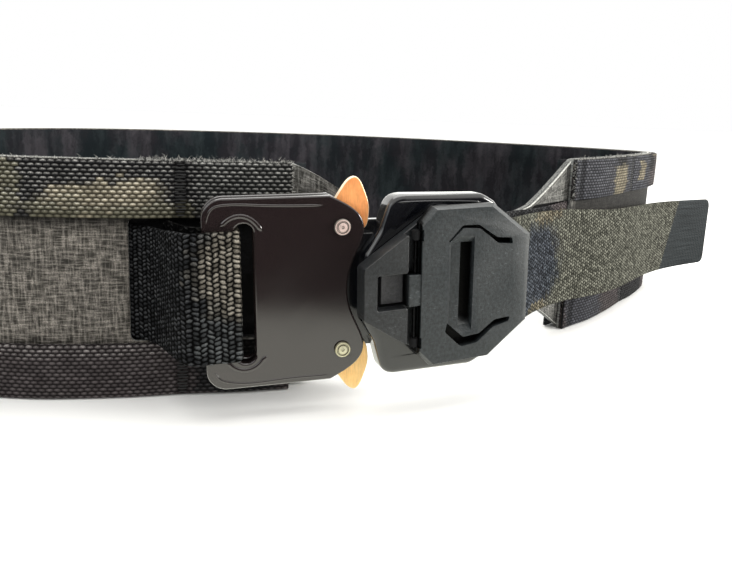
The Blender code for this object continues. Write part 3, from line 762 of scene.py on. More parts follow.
def make_strap_weave_group():
    """Knots of the strap's webbing, in columns that lean to and fro."""
    group, t, start, end = new_group("strap weave", {"Vector": "Vector"}, WEAVE_OUTPUTS)
    along, up, _ = t.split(uneven(t, start["Vector"], 1.9))
    column, run = counted(t, t.math("DIVIDE", along, STRAP_PITCH))
    odd = t.math("FLOORED_MODULO", column, 2.0)
    side = t.times_plus(odd, 2.0, -1.0)
    lean = t.times(t.minus(run, 0.5), side, STRAP_LEAN)
    level = t.plus(t.times_plus(odd, 0.5, t.math("DIVIDE", up, STRAP_ROW)), lean)
    row, across = counted(t, level)
    height = t.times(half_wave(t, across, 0.8), half_wave(t, run, 0.6))
    cell = t.join(t.times(t.plus(column, 0.5), STRAP_PITCH), t.times(row, STRAP_ROW))
    close_weave(t, start, end, height, half_wave(t, run, 1.0), across, run, cell)
    return group


def make_print_group():
    """A woodland print in four tones, in soft lobes that lie along the webbing."""
    inputs = {"Vector": "Vector"}
    for tone in ("Ground", "Shadow", "Leaf", "Sand"):
        inputs[tone] = "Color"
    group, t, start, end = new_group("woodland print", inputs, {"Color": "Color"})
    wide = t.stretched(start["Vector"], 0.014, 0.030)
    mixed = start["Ground"]
    for tone, shift, scale, distortion, edge in (
            # tone, shift of its lobes, their scale and distortion, level of their edge
            ("Shadow", None, 1.0, 0.5, 0.49),
            ("Leaf", (7.3, 2.1, 0.0), 1.0, 0.6, 0.54),
            ("Sand", (3.7, 9.4, 0.0), 1.4, 0.6, 0.63)):
        place = t.vector("ADD", wide, shift) if shift else wide
        lobes = t.noise(place, scale, 2.0, 0.45, distortion)
        mixed = t.mix(t.range(lobes, edge, edge + 0.03), mixed, start[tone])
    t.set(end["Color"], mixed)
    return group


def make_lobe_group():
    """One lobe of the print with a wavy edge, at a place and of a half size."""
    inputs = {"Vector": "Vector", "Centre": "Vector", "Half Size": "Vector"}
    group, t, start, end = new_group("print lobe", inputs, {"Mask": "Float"})
    place = start["Vector"]
    wavy = t.drift(place, 0.11, 2.0, 0.5, (14.0, 10.0, 0.0))
    ragged = t.drift(place, 0.27, 1.0, 0.5, (11.0, 9.0, 0.0))
    moved = t.vector("ADD", place, t.vector("ADD", wavy, ragged))
    share = t.vector("DIVIDE", t.vector("SUBTRACT", moved, start["Centre"]), start["Half Size"])
    reach = t.add("VectorMath", {0: share}, operation="LENGTH")["Value"]
    t.set(end["Mask"], t.range(reach, 1.2, 0.82, smooth=True))
    return group


def make_hatch_group():
    """Crossed pale threads on a coated laminate: their mask, and the fine grain between them."""
    inputs = {"Vector": "Vector", "Pale Share": "Float"}
    group, t, start, end = new_group("cross hatch", inputs, {"Mask": "Float", "Fine": "Float"})
    place = start["Vector"]
    low = t.minus(0.60, t.times(start["Pale Share"], 0.2))
    high = t.plus(low, 0.22)
    level, upright = (t.times(t.range(t.streaks(place, stretch, 3.0, 0.6), low, high), 0.5)
                      for stretch in ((0.16, 1.1), (1.0, 0.13)))
    fine = t.noise(place, 1.9, 3.0, 0.65)
    t.set(end["Mask"], t.times(t.plus(level, upright), t.range(fine, 0.32, 0.62, 0.3, 1.0)))
    t.set(end["Fine"], fine)
    return group


def make_wear_group():
    """Small scuffs on a hard surface, its fine grain, and broad clouds in its finish."""
    inputs = {"Vector": "Vector", "Grain Scale": "Float", "Amount": "Float"}
    outputs = {"Scuffs": "Float", "Grain": "Float", "Cloud": "Float"}
    group, t, start, end = new_group("wear and grain", inputs, outputs)
    place = start["Vector"]
    cloud = t.noise(place, 60.0, 3.0, 0.55)
    scratch = t.noise(t.stretched(place, 1.0, 1.0, 6.0), 420.0, 3.0, 0.6)
    scuffs = t.times(t.range(scratch, 0.6, 0.72), t.range(cloud, 0.45, 0.65), start["Amount"])
    t.set(end["Scuffs"], scuffs)
    t.set(end["Grain"], t.noise(place, start["Grain Scale"], 2.0, 0.6))
    t.set(end["Cloud"], cloud)
    return group


ROW_WEAVE = make_row_weave_group()
STRAP_WEAVE = make_strap_weave_group()
PRINT = make_print_group()
LOBE = make_lobe_group()
HATCH = make_hatch_group()
WEAR = make_wear_group()

# Shade behind the slot and below the upper row, and the tongues' own tone, in unrolled millimetres;
# SLOT_SHADE and ROW_SHADE are the shares of light that are left
SLOT_SHADE_CENTRE = (50.0, 18.0)
SLOT_SHADE_HALF_SIZE = (13.0, 8.0)
SLOT_SHADE = 0.06
LEFT_ROW_SHADE = (59.5, 65.8)
RIGHT_ROW_SHADE = (42.0, 52.0)
ROW_SHADE_TOP = (66.6, 66.0)
ROW_SHADE = 0.1
RIGHT_SHADE_REACH = (loop.total - 290.0, loop.total - 250.0)
LEFT_TONGUE_TONE = (60.0, 45.0)
RIGHT_TONGUE_TONE = (loop.total - 124.0, loop.total - RIGHT_WING_END)

# Tones of the print
GROUND = colour(44, 44, 46)
BLACK = colour(30, 31, 33)
# near black for the painted shadow on the buckle strap's return
PAINTED_SHADOW_BLACK = colour(4, 4, 5)
SHADOW = colour(80, 74, 75)
LEAF = colour(84, 81, 62)
SAND = colour(122, 114, 90)
KHAKI = colour(132, 124, 106)
OLIVE = colour(79, 79, 71)
LICHEN = colour(98, 95, 80)
SLATE = colour(66, 67, 67)
TAN = colour(88, 84, 77)
TEAL = colour(47, 49, 50)
NAVY = colour(47, 51, 57)
RUST = colour(88, 83, 70)
MAUVE = colour(74, 75, 81)


def new_material(name):
    """A material with its tree builder and its shader's sockets."""
    result = bpy.data.materials.new(name)
    result.use_nodes = True
    return result, Tree(result.node_tree), result.node_tree.nodes["Principled BSDF"].inputs


def surface_place(t):
    """Lengths along and across the piece in millimetres, from its unrolled coordinates."""
    return t.add("UVMap", uv_map="unrolled")[0]


def finish_look(t, shader, shown, roughness, gloss, relief, depth, strength):
    """Gives a shader its colour, roughness, plain gloss and relief; the depth is in metres."""
    t.set(shader["Base Color"], shown)
    t.set(shader["Roughness"], roughness)
    shader["Specular IOR Level"].default_value = gloss
    bump = t.add("Bump", {"Height": relief, "Distance": depth, "Strength": strength})
    t.set(shader["Normal"], bump[0])


def lobe_mask(t, place, centre, half_size):
    inputs = {"Vector": place, "Centre": (*centre, 0.0), "Half Size": (*half_size, 1.0)}
    return t.group(LOBE, inputs)["Mask"]


def printed(t, cell, lobes):
    """The print with a piece's own lobes, one tone for each float."""
    tones = {"Vector": cell, "Ground": GROUND, "Shadow": SHADOW, "Leaf": LEAF, "Sand": SAND}
    dyed = t.group(PRINT, tones)["Color"]
    for along, up, half_length, half_height, tone in lobes:
        dyed = t.mix(lobe_mask(t, cell, (along, up), (half_length, half_height)), dyed, tone)
    return dyed


def shaded_by_slot(t, place, shown):
    """Darkens the lower edge of the window behind the buckle's slot, where no light comes in."""
    mask = lobe_mask(t, place, SLOT_SHADE_CENTRE, SLOT_SHADE_HALF_SIZE)
    return t.scaled(shown, t.between(mask, 1.0, SLOT_SHADE))


def row_material(name, lobes, highlight_levels, highlight_shares):
    """Brick weave of a webbing row; its painted highlights grow between two levels, from share to
    share.
    """
    result, t, shader = new_material(name)
    place = surface_place(t)
    along, up, _ = t.split(place)
    weave = t.group(ROW_WEAVE, {"Vector": place})
    dyed = printed(t, weave["Cell"], lobes)
    yarn = t.streaks(place, (1.5, 9.0), 2.0, 0.6)
    bay = t.math("PINGPONG", t.minus(along, TACK_START), TACK_SPACING / 2)
    tacked = t.minus(1.0, t.range(bay, TACK_LENGTH / 2 - 0.3, TACK_LENGTH / 2 + 0.6))
    # painted shade between the floats and at the bar tacks, times the floats' random tone and yarn
    # streaks
    light = t.times(t.range(weave["Height"], 0.1, 1.0, 0.14, 0.85),
                    t.between(weave["Tone"], 0.75, 1.25),
                    t.range(yarn, 0.3, 0.7, 0.7, 1.3),
                    t.between(tacked, 1.0, 0.45))
    # painted highlight on the floats' crests, growing up the row and fading along the belt
    painted_highlight = t.times(weave["Painted Highlight"],
                    t.range(up, *highlight_levels, *highlight_shares),
                    t.between(weave["Tone"], 0.3, 1.0),
                    t.between(tacked, 1.0, 0.15),
                    t.range(along, 200.0, 900.0, 1.0, 0.18))
    # colour of the painted highlight: the dye lifted towards pale
    highlight_tone = t.vector("MULTIPLY_ADD", dyed, (1.9, 1.9, 1.9), (0.46, 0.45, 0.423))
    shown = t.mix(painted_highlight, t.scaled(dyed, light), highlight_tone)
    if highlight_levels[0] > ROW_HEIGHT / 2:
        shown = shaded_by_slot(t, place, shown)
    relief = t.times_plus(yarn, 0.18, weave["Height"])
    finish_look(t, shader, shown, 0.75, 0.05, relief, 0.00028, 0.8)
    return result


def strap_material(name, lobes, knot_gap_shade, glint, tip=None):
    """Knotted weave of a strap: the painted shade left between the knots, and how many times brighter
    than the dye the painted highlights on their crests are; tip is where a melted end starts, at its
    lower and its upper edge."""
    result, t, shader = new_material(name)
    place = surface_place(t)
    along, up, _ = t.split(place)
    weave = t.group(STRAP_WEAVE, {"Vector": place})
    dyed = printed(t, weave["Cell"], lobes)
    yarn = t.streaks(place, (2.4, 3.6), 3.0, 0.65)
    # painted shade between the knots, times the knots' random tone and yarn streaks
    light = t.times(t.range(weave["Height"], 0.34, 0.94, knot_gap_shade, 1.45),
                    t.between(weave["Tone"], 0.5, 1.4),
                    t.range(yarn, 0.34, 0.66, 0.3, 1.6))
    # painted highlight on the knots' crests
    painted_highlight = t.times(weave["Painted Highlight"], t.range(weave["Tone"], 0.2, 1.0, 0.05, 0.7))
    highlight_tone = t.vector("MULTIPLY_ADD", dyed, (glint, glint, glint), (0.065, 0.065, 0.062))
    shown = t.mix(painted_highlight, t.scaled(dyed, light), highlight_tone)
    relief = t.times_plus(yarn, 0.3, weave["Height"])
    roughness = 0.8
    if tip is not None:
        slant = t.times_plus(up, (tip[1] - tip[0]) / STRAP_WIDTH, tip[0])
        melted = t.range(t.minus(along, slant), -0.5, 0.5)
        lines = t.streaks(place, (0.03, 1.4), 3.0, 0.6)
        film = t.mix(t.range(lines, 0.35, 0.65), colour(22, 25, 27), colour(42, 46, 48))
        shown = t.mix(melted, shown, film)
        relief = t.times(relief, t.between(melted, 1.0, 0.15))
        roughness = t.between(melted, 0.8, 0.5)
    finish_look(t, shader, shown, roughness, 0.04, relief, 0.0003, 0.8)
    return result


def laminate_material(name):
    """Coated laminate with crossed pale threads, darker in the shade of the upper row."""
    result, t, shader = new_material(name)
    place = surface_place(t)
    along, up, _ = t.split(place)
    hatch = t.group(HATCH, {"Vector": place, "Pale Share": 0.8})
    cloud = t.noise(place, 0.05, 3.0, 0.6)
    right_tongue = t.range(along, *RIGHT_TONGUE_TONE)
    tongue = t.math("MAXIMUM", t.range(along, *LEFT_TONGUE_TONE), right_tongue)
    dark = t.mix(t.range(cloud, 0.3, 0.7), colour(60, 57, 52), colour(48, 46, 43))
    dark = t.mix(t.range(hatch["Fine"], 0.35, 0.65, 0.0, 0.6), dark, colour(32, 31, 29))
    shown = t.mix(hatch["Mask"], dark, colour(172, 165, 156))
    shown = t.mix(tongue, shown, t.vector("MULTIPLY", shown, (0.95, 1.03, 1.1)))
    right = t.range(along, *RIGHT_SHADE_REACH)
    start, end = (t.between(right, *levels) for levels in zip(LEFT_ROW_SHADE, RIGHT_ROW_SHADE))
    shade = t.times(t.range(up, start, end), t.range(up, *ROW_SHADE_TOP), t.minus(1.0, tongue))
    shown = t.scaled(shown, t.between(shade, 0.95, ROW_SHADE))
    finish_look(t, shader, shown, 0.7, 0.15, t.plus(hatch["Mask"], hatch["Fine"]), 0.00012, 0.6)
    return result


def cut_edge_material(name, dark, pale):
    """Cut edge of the laminate, with frayed ends of thread."""
    result, t, shader = new_material(name)
    place = surface_place(t)
    fray = t.streaks(place, (1.2, 1.2), 3.0, 0.7)
    shown = t.mix(t.range(fray, 0.36, 0.60), colour(*dark), colour(*pale))
    finish_look(t, shader, shaded_by_slot(t, place, shown), 0.8, 0.2, fray, 0.0002, 0.8)
    return result


def fibre_material(name):
    """Loose ends of yarn, from black to nearly white."""
    result, t, shader = new_material(name)
    tone = t.noise(t.add("TexCoord")["Object"], 750.0, 2.0, 0.6)
    shown = t.mix(t.range(tone, 0.42, 0.62), colour(38, 38, 40), colour(196, 195, 190))
    t.set(shader["Base Color"], shown)
    shader["Roughness"].default_value = 0.85
    shader["Specular IOR Level"].default_value = 0.15
    return result


def liner_material(name):
    """Brushed lining: near black, with upright streaks of the pile and painted light and shade along
    it.
    """
    result, t, shader = new_material(name)
    place = surface_place(t)
    ragged = t.noise(place, 0.3, 3.0, 0.6, output="Color")
    moved = t.vector("ADD", place, t.vector("MULTIPLY", ragged, (5.0, 16.0, 0.0)))
    streak = t.streaks(moved, (0.12, 0.03), 5.0, 0.65)
    broad = t.range(t.streaks(moved, (0.04, 0.02), 3.0, 0.55), 0.42, 0.58)
    pile = t.noise(place, 2.2, 3.0, 0.7)
    tint = t.mix(broad, colour(18, 25, 28), colour(30, 29, 33))
    pale = t.mix(broad, colour(36, 43, 45), colour(58, 56, 60))
    mixed = t.mix(t.range(streak, 0.44, 0.62), tint, pale)
    mixed = t.mix(t.range(pile, 0.35, 0.6, 0.0, 0.5), mixed, colour(8, 9, 12))
    along = t.split(place)[0]
    # painted light and shade: brighter from 420 mm along, darker again past 600 mm
    tone = t.times(t.range(along, 420.0, 560.0, 1.0, 1.35), t.range(along, 600.0, 740.0, 1.0, 0.7))
    finish_look(t, shader, t.scaled(mixed, tone), 0.95, 0.12, t.plus(pile, streak), 0.0003, 0.7)
    return result


def hard_material(name, base, worn, roughness, spread, coat, grain_scale, grain_depth, wear, mottle,
                  recess_shade_depths=None):
    """Painted, plated or moulded surface with grain, dull clouds and small scuffs.

    The roughness varies by its spread and the tone by the mottle's share. The last argument holds two
    depths in the buckle's frame, in millimetres, between which the surface goes over to black as
    painted shade; a strip along the hinge edge is painted black as shade too.
    """
    result, t, shader = new_material(name)
    place = t.add("TexCoord")["Object"]
    marks = t.group(WEAR, {"Vector": place, "Grain Scale": grain_scale, "Amount": wear})
    shown = t.mix(marks["Scuffs"], colour(*base), colour(*worn))
    if mottle:
        speck = t.noise(place, 850.0, 4.0, 0.7)
        shown = t.scaled(shown, t.range(speck, 0.38, 0.62, 1.0 - mottle, 1.0 + mottle))
    # painted shade: black in the recesses and along the hinge edge, with metallic to take the sheen
    # away
    if recess_shade_depths:
        along, depth, _ = t.split(place)
        recess_shade = t.range(depth, recess_shade_depths[0] * MM, recess_shade_depths[1] * MM)
        hinge = t.times(t.range(along, 1.2 * MM, 0.6 * MM), t.range(depth, 0.3 * MM, 0.9 * MM))
        recess_shade = t.math("MAXIMUM", recess_shade, t.times(hinge, t.range(along, -0.1 * MM, 0.1 * MM)))
        shown = t.mix(recess_shade, shown, (0.002, 0.002, 0.002, 1.0))
        t.set(shader["Metallic"], t.times(recess_shade, 0.8))
    dull = t.range(marks["Cloud"], 0.3, 0.7, roughness - spread, roughness + spread)
    shader["Coat Weight"].default_value = coat
    shader["Coat Roughness"].default_value = 0.08
    finish_look(t, shader, shown, dull, 0.5, marks["Grain"], grain_depth, 0.7)
    return result


def brushed_material(name, base, deep, rim, roughness, metallic):
    """Stamped metal with fine lines of its rolling; the rim tone shows on its turned edges."""
    result, t, shader = new_material(name)
    coordinates = t.add("TexCoord")
    place = coordinates["Object"]
    lines = t.streaks(place, (2400.0, 900.0, 260.0), 3.0, 0.6)
    blotch = t.noise(place, 210.0, 3.0, 0.6)
    shown = t.mix(t.range(blotch, 0.35, 0.7), colour(*base), colour(*deep))
    shown = t.scaled(shown, t.range(lines, 0.3, 0.7, 0.86, 1.12))
    turned_away = t.range(t.math("ABSOLUTE", t.split(coordinates["Normal"])[1]), 0.97, 0.75)
    shader["Metallic"].default_value = metallic
    dull = t.range(lines, 0.3, 0.7, roughness - 0.08, roughness + 0.08)
    finish_look(t, shader, t.mix(turned_away, shown, colour(*rim)), dull, 0.5, lines, 0.00003, 0.5)
    return result


# Lobes of the print, and one of painted shadow on the buckle strap, in unrolled millimetres
UPPER_ROW_LOBES = (
    # along, up, half length, half height, tone
    (88.0, 10.0, 62.0, 40.0, GROUND),
    (102.0, 3.0, 29.0, 5.5, LICHEN),
    (103.0, 8.5, 18.0, 5.5, KHAKI),
    (138.5, 10.0, 6.0, 30.0, LICHEN),
    (54.0, 13.0, 18.0, 13.0, SLATE),
    (50.0, 4.0, 8.0, 4.0, NAVY),
    (985.0, 10.0, 24.0, 34.0, MAUVE),
    (925.0, 10.0, 22.0, 34.0, MAUVE),
    (955.0, 7.0, 10.0, 10.0, KHAKI),
    (918.0, 12.0, 6.0, 6.0, KHAKI),
)
LOWER_ROW_LOBES = (
    # along, up, half length, half height, tone
    (88.0, 10.0, 66.0, 40.0, SHADOW),
    (58.0, 8.0, 16.0, 12.0, GROUND),
    (985.0, 9.0, 20.0, 30.0, MAUVE),
    (950.0, 10.0, 18.0, 30.0, SHADOW),
    (915.0, 10.0, 22.0, 30.0, GROUND),
)
LEFT_STRAP_LOBES = (
    # along, up, half length, half height, tone
    (20.0, 22.0, 60.0, 90.0, BLACK),
    (56.0, 10.0, 18.0, 22.0, TEAL),
    (57.0, 32.0, 18.5, 18.0, TAN),
    # painted shadow: the strap's return behind the buckle goes near black
    (104.0, 22.0, 36.0, 90.0, PAINTED_SHADOW_BLACK),
)
TAIL_LOBES = (
    # along, up, half length, half height, tone
    (120.0, 22.0, 150.0, 90.0, OLIVE),
    (35.0, 19.0, 29.0, 20.0, NAVY),
    (50.0, 43.0, 16.0, 2.6, RUST),
    (42.0, 1.5, 12.0, 2.6, RUST),
)
TAIL_TIP = (217.0, 236.0)

CUT_EDGES = (
    # name, dark tone, pale tone
    ("laminate_cut_edge", (120, 120, 116), (224, 224, 218)),
    ("laminate_inner_edge", (66, 67, 68), (132, 133, 130)),
    # near black painted shade for the strap channel and the hinge ears in the slot
    ("channel_lining", (10, 10, 11), (22, 22, 24)),
)
HARD_FINISHES = (
    # name, base, worn, roughness, spread, coat, grain scale, grain depth, wear, mottle, depths of
    # painted shade
    ("bonded_thread", (26, 26, 28), (60, 60, 60), 0.7, 0.08, 0.0, 3000.0, 0.00004, 0.5, 0.0),
    ("gloss_black_plate", (31, 24, 24), (76, 72, 68), 0.1, 0.04, 1.0, 500.0, 0.000004, 0.3, 0.0),
    ("gloss_black_casting", (11, 12, 16), (60, 62, 66), 0.2, 0.06, 1.0, 450.0, 0.00001, 0.25, 0.0),
    ("satin_black_bar", (12, 12, 13), (60, 60, 60), 0.4, 0.08, 0.0, 900.0, 0.00002, 0.5, 0.0),
    ("base_polymer", (30, 32, 34), (84, 86, 88), 0.42, 0.08, 0.0, 1500.0, 0.00012, 0.5, 0.45),
    ("window_floor", (50, 50, 52), (84, 86, 88), 0.5, 0.08, 0.0, 1500.0, 0.00006, 0.5, 0.3),
    ("cover_polymer", (38, 42, 44), (104, 110, 112), 0.38, 0.08, 0.0, 1500.0, 0.00012, 0.7, 0.4,
     (0.9, 3.0)),
)
BRUSHED_FINISHES = (
    # name, base, deep, rim, roughness, metallic
    # steel darkened near black: painted shade on the pin in its slot
    ("pin_steel", (40, 40, 42), (26, 26, 28), (34, 34, 36), 0.25, 1.0),
    ("rivet_steel", (214, 190, 184), (196, 172, 164), (112, 108, 100), 0.36, 0.3),
    ("warm_rivet_steel", (206, 202, 172), (190, 184, 150), (116, 112, 92), 0.36, 0.3),
    ("bronze_lever", (242, 164, 100), (226, 142, 80), (252, 230, 196), 0.45, 0.3),
    ("pale_bronze_lever", (246, 206, 140), (238, 192, 122), (255, 238, 204), 0.45, 0.3),
)
LOOKS = {"hatched_laminate": laminate_material("hatched_laminate"),
         "brushed_lining": liner_material("brushed_lining"),
         "loose_fibre": fibre_material("loose_fibre"),
         "upper_row": row_material("upper_row_webbing", UPPER_ROW_LOBES, (1.5, 5.0), (0.12, 0.85)),
         "lower_row": row_material("lower_row_webbing", LOWER_ROW_LOBES, (14.5, 17.5), (0.12, 0.6)),
         "buckle_strap": strap_material("buckle_strap_webbing", LEFT_STRAP_LOBES, 0.04, 3.0),
         "tail_strap": strap_material("tail_webbing", TAIL_LOBES, 0.3, 2.0, TAIL_TIP)}
for make_look, table in ((cut_edge_material, CUT_EDGES), (hard_material, HARD_FINISHES),
                         (brushed_material, BRUSHED_FINISHES)):
    for line in table:
        LOOKS[line[0]] = make_look(*line)


# Mesh building


def placed(name, data):
    """A new object in the scene."""
    result = bpy.data.objects.new(name, data)
    bpy.context.scene.collection.objects.link(result)
    return result


def unit(vectors):
    return vectors / np.linalg.norm(vectors, axis=1)[:, None]


def finish_piece(mesh, name, looks, body, seat=None, sharp=35.0):
    """Links a mesh as a piece that rides on a body."""
    piece = placed(name, mesh)
    mesh.materials.clear()
    for look in looks:
        mesh.materials.append(LOOKS[look])
    mesh.shade_smooth()
    mesh.set_sharp_from_angle(angle=math.radians(sharp))
    if seat is not None:
        piece.matrix_world = seat
    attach(piece, body)
    return piece


def set_unrolled(mesh, places):
    """Gives a mesh its unrolled coordinates, one pair for each corner of its faces."""
    layer = mesh.uv_layers.new(name="unrolled")
    layer.uv.foreach_set("vector", np.asarray(places, np.float32).ravel())


def closed_mesh(name, vertices, faces):
    """A mesh with its faces turned outwards."""
    mesh = bpy.data.meshes.new(name)
    mesh.from_pydata(vertices, [], faces)
    solid = bmesh.new()
    solid.from_mesh(mesh)
    bmesh.ops.recalc_face_normals(solid, faces=solid.faces)
    solid.to_mesh(mesh)
    solid.free()
    return mesh


def tube_faces(columns, sides, first=0):
    """Faces over rings of points that follow one another, with both ends closed."""
    faces = []
    for ring in range(first, first + (columns - 1) * sides, sides):
        for j in range(sides):
            k = (j + 1) % sides
            faces.append((ring + j, ring + sides + j, ring + sides + k, ring + k))
    last = first + (columns - 1) * sides
    return faces + [tuple(range(first, first + sides)), tuple(reversed(range(last, last + sides)))]


def skin(name, rings, along, around, looks, rows=(), sharp=50.0):
    """A closed skin over rings of plan points, with its unrolled coordinates.

    rings holds columns of ring points, along the length of each column, and around the place of each
    ring point round the section, with one more value for the ring's end. rows pairs a row of faces
    with the number of its material; where it is given, the ends take the second material.
    """
    columns, count = rings.shape[:2]
    column, place = np.indices((columns - 1, count))[..., None]
    column = column + [0, 0, 1, 1]
    place = place + [0, 1, 1, 0]
    faces = (column * count + place % count).reshape(-1, 4)
    unrolled = np.stack([along[column], around[place]], axis=-1).reshape(-1, 2)
    first_end = range(count)[::-1]
    last_end = range((columns - 1) * count, columns * count)
    end_places = [(along[0], around[k]) for k in first_end]
    end_places += [(along[-1], around[k]) for k in range(count)]
    points = to_metres(rings.reshape(-1, 3))
    a, b, c = (points[faces[:, k]] for k in range(3))
    outwards = float(np.einsum("ij,ij->i", a, np.cross(b, c)).sum()) > 0
    mesh = bpy.data.meshes.new(name)
    mesh.from_pydata(points.tolist(), [], faces.tolist() + [list(first_end), list(last_end)])
    set_unrolled(mesh, np.concatenate([unrolled, end_places]))
    if not outwards:
        mesh.flip_normals()
    piece = finish_piece(mesh, name, looks, "belt", sharp=sharp)
    if rows:
        number = np.zeros(count, np.int32)
        for row, look in rows:
            number[row] = look
        index = np.concatenate([np.tile(number, columns - 1), [1, 1]]).astype(np.int32)
        mesh.polygons.foreach_set("material_index", index)
    return piece


def stations(start, end, step):
    """Even stations from a start to an end, about one step apart."""
    return np.linspace(start, end, round((end - start) / step) + 1)


def row_relief(along, up):
    """Height of the rows' weave, 0 between the floats and 1 on top of one."""
    row = np.floor(up / WEAVE_ROW + 1e-6)
    across = np.clip(up / WEAVE_ROW - row, 0.0, 1.0)
    place = along / WEAVE_PITCH + 0.5 * np.mod(row, 2)
    run = place - np.floor(place)
    return np.sin(np.pi * across) ** 0.9 * (0.25 + 0.75 * np.sin(np.pi * run) ** 1.3)


def strap_relief(along, up):
    """Height of the straps' weave, 0 between the knots and 1 on top of one."""
    column = np.floor(along / STRAP_PITCH + 1e-6)
    run = np.clip(along / STRAP_PITCH - column, 0.0, 1.0)
    odd = np.mod(column, 2)
    level = up / STRAP_ROW + 0.5 * odd + (run - 0.5) * (2 * odd - 1) * STRAP_LEAN
    across = level - np.floor(level)
    return np.sin(np.pi * across) ** 0.8 * np.sin(np.pi * run) ** 0.6


def webbing_section(width, thickness, row_height):
    """Section of a webbing: place across it, height out of its middle, and share of the relief."""
    rows = round(width / row_height)
    across = np.linspace(0.0, width, rows * SAMPLES_ACROSS + 1)
    edge = np.minimum(across, width - across)
    droop = SELVEDGE - np.sqrt(np.maximum(SELVEDGE ** 2 - np.maximum(SELVEDGE - edge, 0.0) ** 2, 0.0))
    front = np.stack([across, thickness / 2 - droop * 0.9, np.ones_like(across)], axis=-1)
    chamfer = CHAMFER_DEPTH - thickness / 2
    side = [(width, 0.0, SIDE_RELIEF), (width - CHAMFER_ACROSS, chamfer, 0.0)]
    back = [(width * share, -thickness / 2, 0.0) for share in BACK_SHARES]
    other = [(CHAMFER_ACROSS, chamfer, 0.0), (0.0, 0.0, SIDE_RELIEF)]
    section = np.concatenate([front, side, back, other])
    around = running_length(np.concatenate([section, section[:1]])[:, :2])
    around[:len(across)] = across
    return section, around


def webbing_row(name, low, look):
    """One woven row of the belt: it stands out between its bar tacks and has a full weave."""
    along = stations(LEFT_WING_END, RIGHT_END, WEAVE_PITCH / SAMPLES_ALONG)
    section, around = webbing_section(ROW_HEIGHT, WEBBING_THICKNESS, WEAVE_ROW)
    place = np.broadcast_to(along[:, None], (len(along), len(section)))
    across, out, share = section.T
    relief = row_relief(place, across[None, :]) * WEAVE_RELIEF * share[None, :]
    nearest = TACK_START + np.round((along - TACK_START) / TACK_SPACING) * TACK_SPACING
    from_end = np.minimum(along - LEFT_WING_END, RIGHT_END - along)
    away = np.minimum(np.abs(along - nearest) - TACK_LENGTH / 2, from_end)
    free = ease(np.maximum(away, 0.0) / BAY_RISE)[:, None]
    flat = ease((away + 1.0) / TACK_FADE)[:, None]
    crown = 1.0 - (2.0 * across / ROW_HEIGHT - 1.0) ** 4
    bulge = BAY_BULGE * free * (1.0 - BAY_CROWN + BAY_CROWN * crown)
    lift = bulge - TACK_PRESS * (1.0 - flat) * crown
    woven = relief * (TACKED_RELIEF + (1.0 - TACKED_RELIEF) * flat)
    depth = WEBBING_THICKNESS / 2 - out[None, :] - lift - woven
    x, y = loop.at(place, depth)
    wave = SIDE_WAVE * np.sin(along * 2.0 * math.pi / WEAVE_PITCH)[:, None]
    z = low + across + wave * (share == SIDE_RELIEF)
    rings = np.stack([x, y, np.clip(z, 0.0, BELT_HEIGHT)], axis=-1)
    return skin(name, rings, along, around, [look])


def beads(name, runs, radius, look, sides=6):
    """Small rounded threads, one for each run of points in metres, as one mesh."""
    vertices, faces = [], []
    angle = np.arange(sides) * 2 * math.pi / sides
    cosine, sine = np.cos(angle)[None, :, None], np.sin(angle)[None, :, None]
    for run in runs:
        tangent = unit(np.gradient(run, axis=0))
        helper = (0.0, 0.0, 1.0) if abs(tangent[0, 2]) < 0.9 else (1.0, 0.0, 0.0)
        side = unit(np.cross(tangent, helper))
        other = np.cross(tangent, side)
        share = np.linspace(-1.0, 1.0, len(run))
        thick = radius * MM * np.sqrt(np.maximum(1.0 - np.abs(share) ** 4, 0.06))
        ring = side[:, None, :] * cosine + other[:, None, :] * sine
        faces += tube_faces(len(run), sides, len(vertices))
        vertices += (run[:, None, :] + ring * thick[:, None, None]).reshape(-1, 3).tolist()
    mesh = bpy.data.meshes.new(name)
    mesh.from_pydata(vertices, [], faces)
    return finish_piece(mesh, name, [look], "belt", sharp=70.0)


def thread_points(along, depth, height):
    """Points of a thread in metres, from its lengths along the belt, its depths and its heights."""
    x, y = loop.at(along, depth)
    return to_metres(np.stack([x, y, np.broadcast_to(height, x.shape)], axis=-1))


def edge_fibres(name, runs):
    """Loose fibres of yarn on the top edge, in runs along it."""
    chance = np.random.default_rng(7)
    share = FIBRE_SHARES
    lines = []
    for start, end, rise, density in runs:
        for _ in range(int(abs(end - start) * density)):
            along = chance.uniform(start, end)
            depth = chance.uniform(0.1, WEBBING_THICKNESS - 0.4)
            length = FIBRE_LENGTH * chance.uniform(0.35, 1.0) * (1.0 + 1.3 * chance.random() ** 7)
            lean = chance.uniform(-0.9, 0.9) * length
            out = chance.uniform(-0.5, 0.2) * length
            up = rise * length * share - 0.15
            lines.append(thread_points(along + lean * share ** 1.5, depth + out * share ** 2,
                                       BELT_HEIGHT - 0.1 + up))
    return beads(name, lines, FIBRE_RADIUS, "loose_fibre", sides=3)


def end_fringe(name, place, outwards):
    """Cut ends of yarn along the upright end of the upper row."""
    chance = np.random.default_rng(11)
    share = FIBRE_SHARES
    lines = []
    for _ in range(FRINGE_COUNT):
        height = BELT_HEIGHT - ROW_HEIGHT + chance.uniform(0.2, ROW_HEIGHT - 0.2)
        depth = chance.uniform(0.0, WEBBING_THICKNESS - 0.3)
        length = FIBRE_LENGTH * chance.uniform(0.4, 1.1)
        droop = chance.uniform(-0.6, 0.5) * share ** 2
        lines.append(thread_points(place + outwards * (length * share - 0.3),
                                   depth + chance.uniform(-0.4, 0.2) * share,
                                   np.minimum(height + droop, BELT_HEIGHT)))
    return beads(name, lines, FRINGE_RADIUS, "loose_fibre", sides=3)


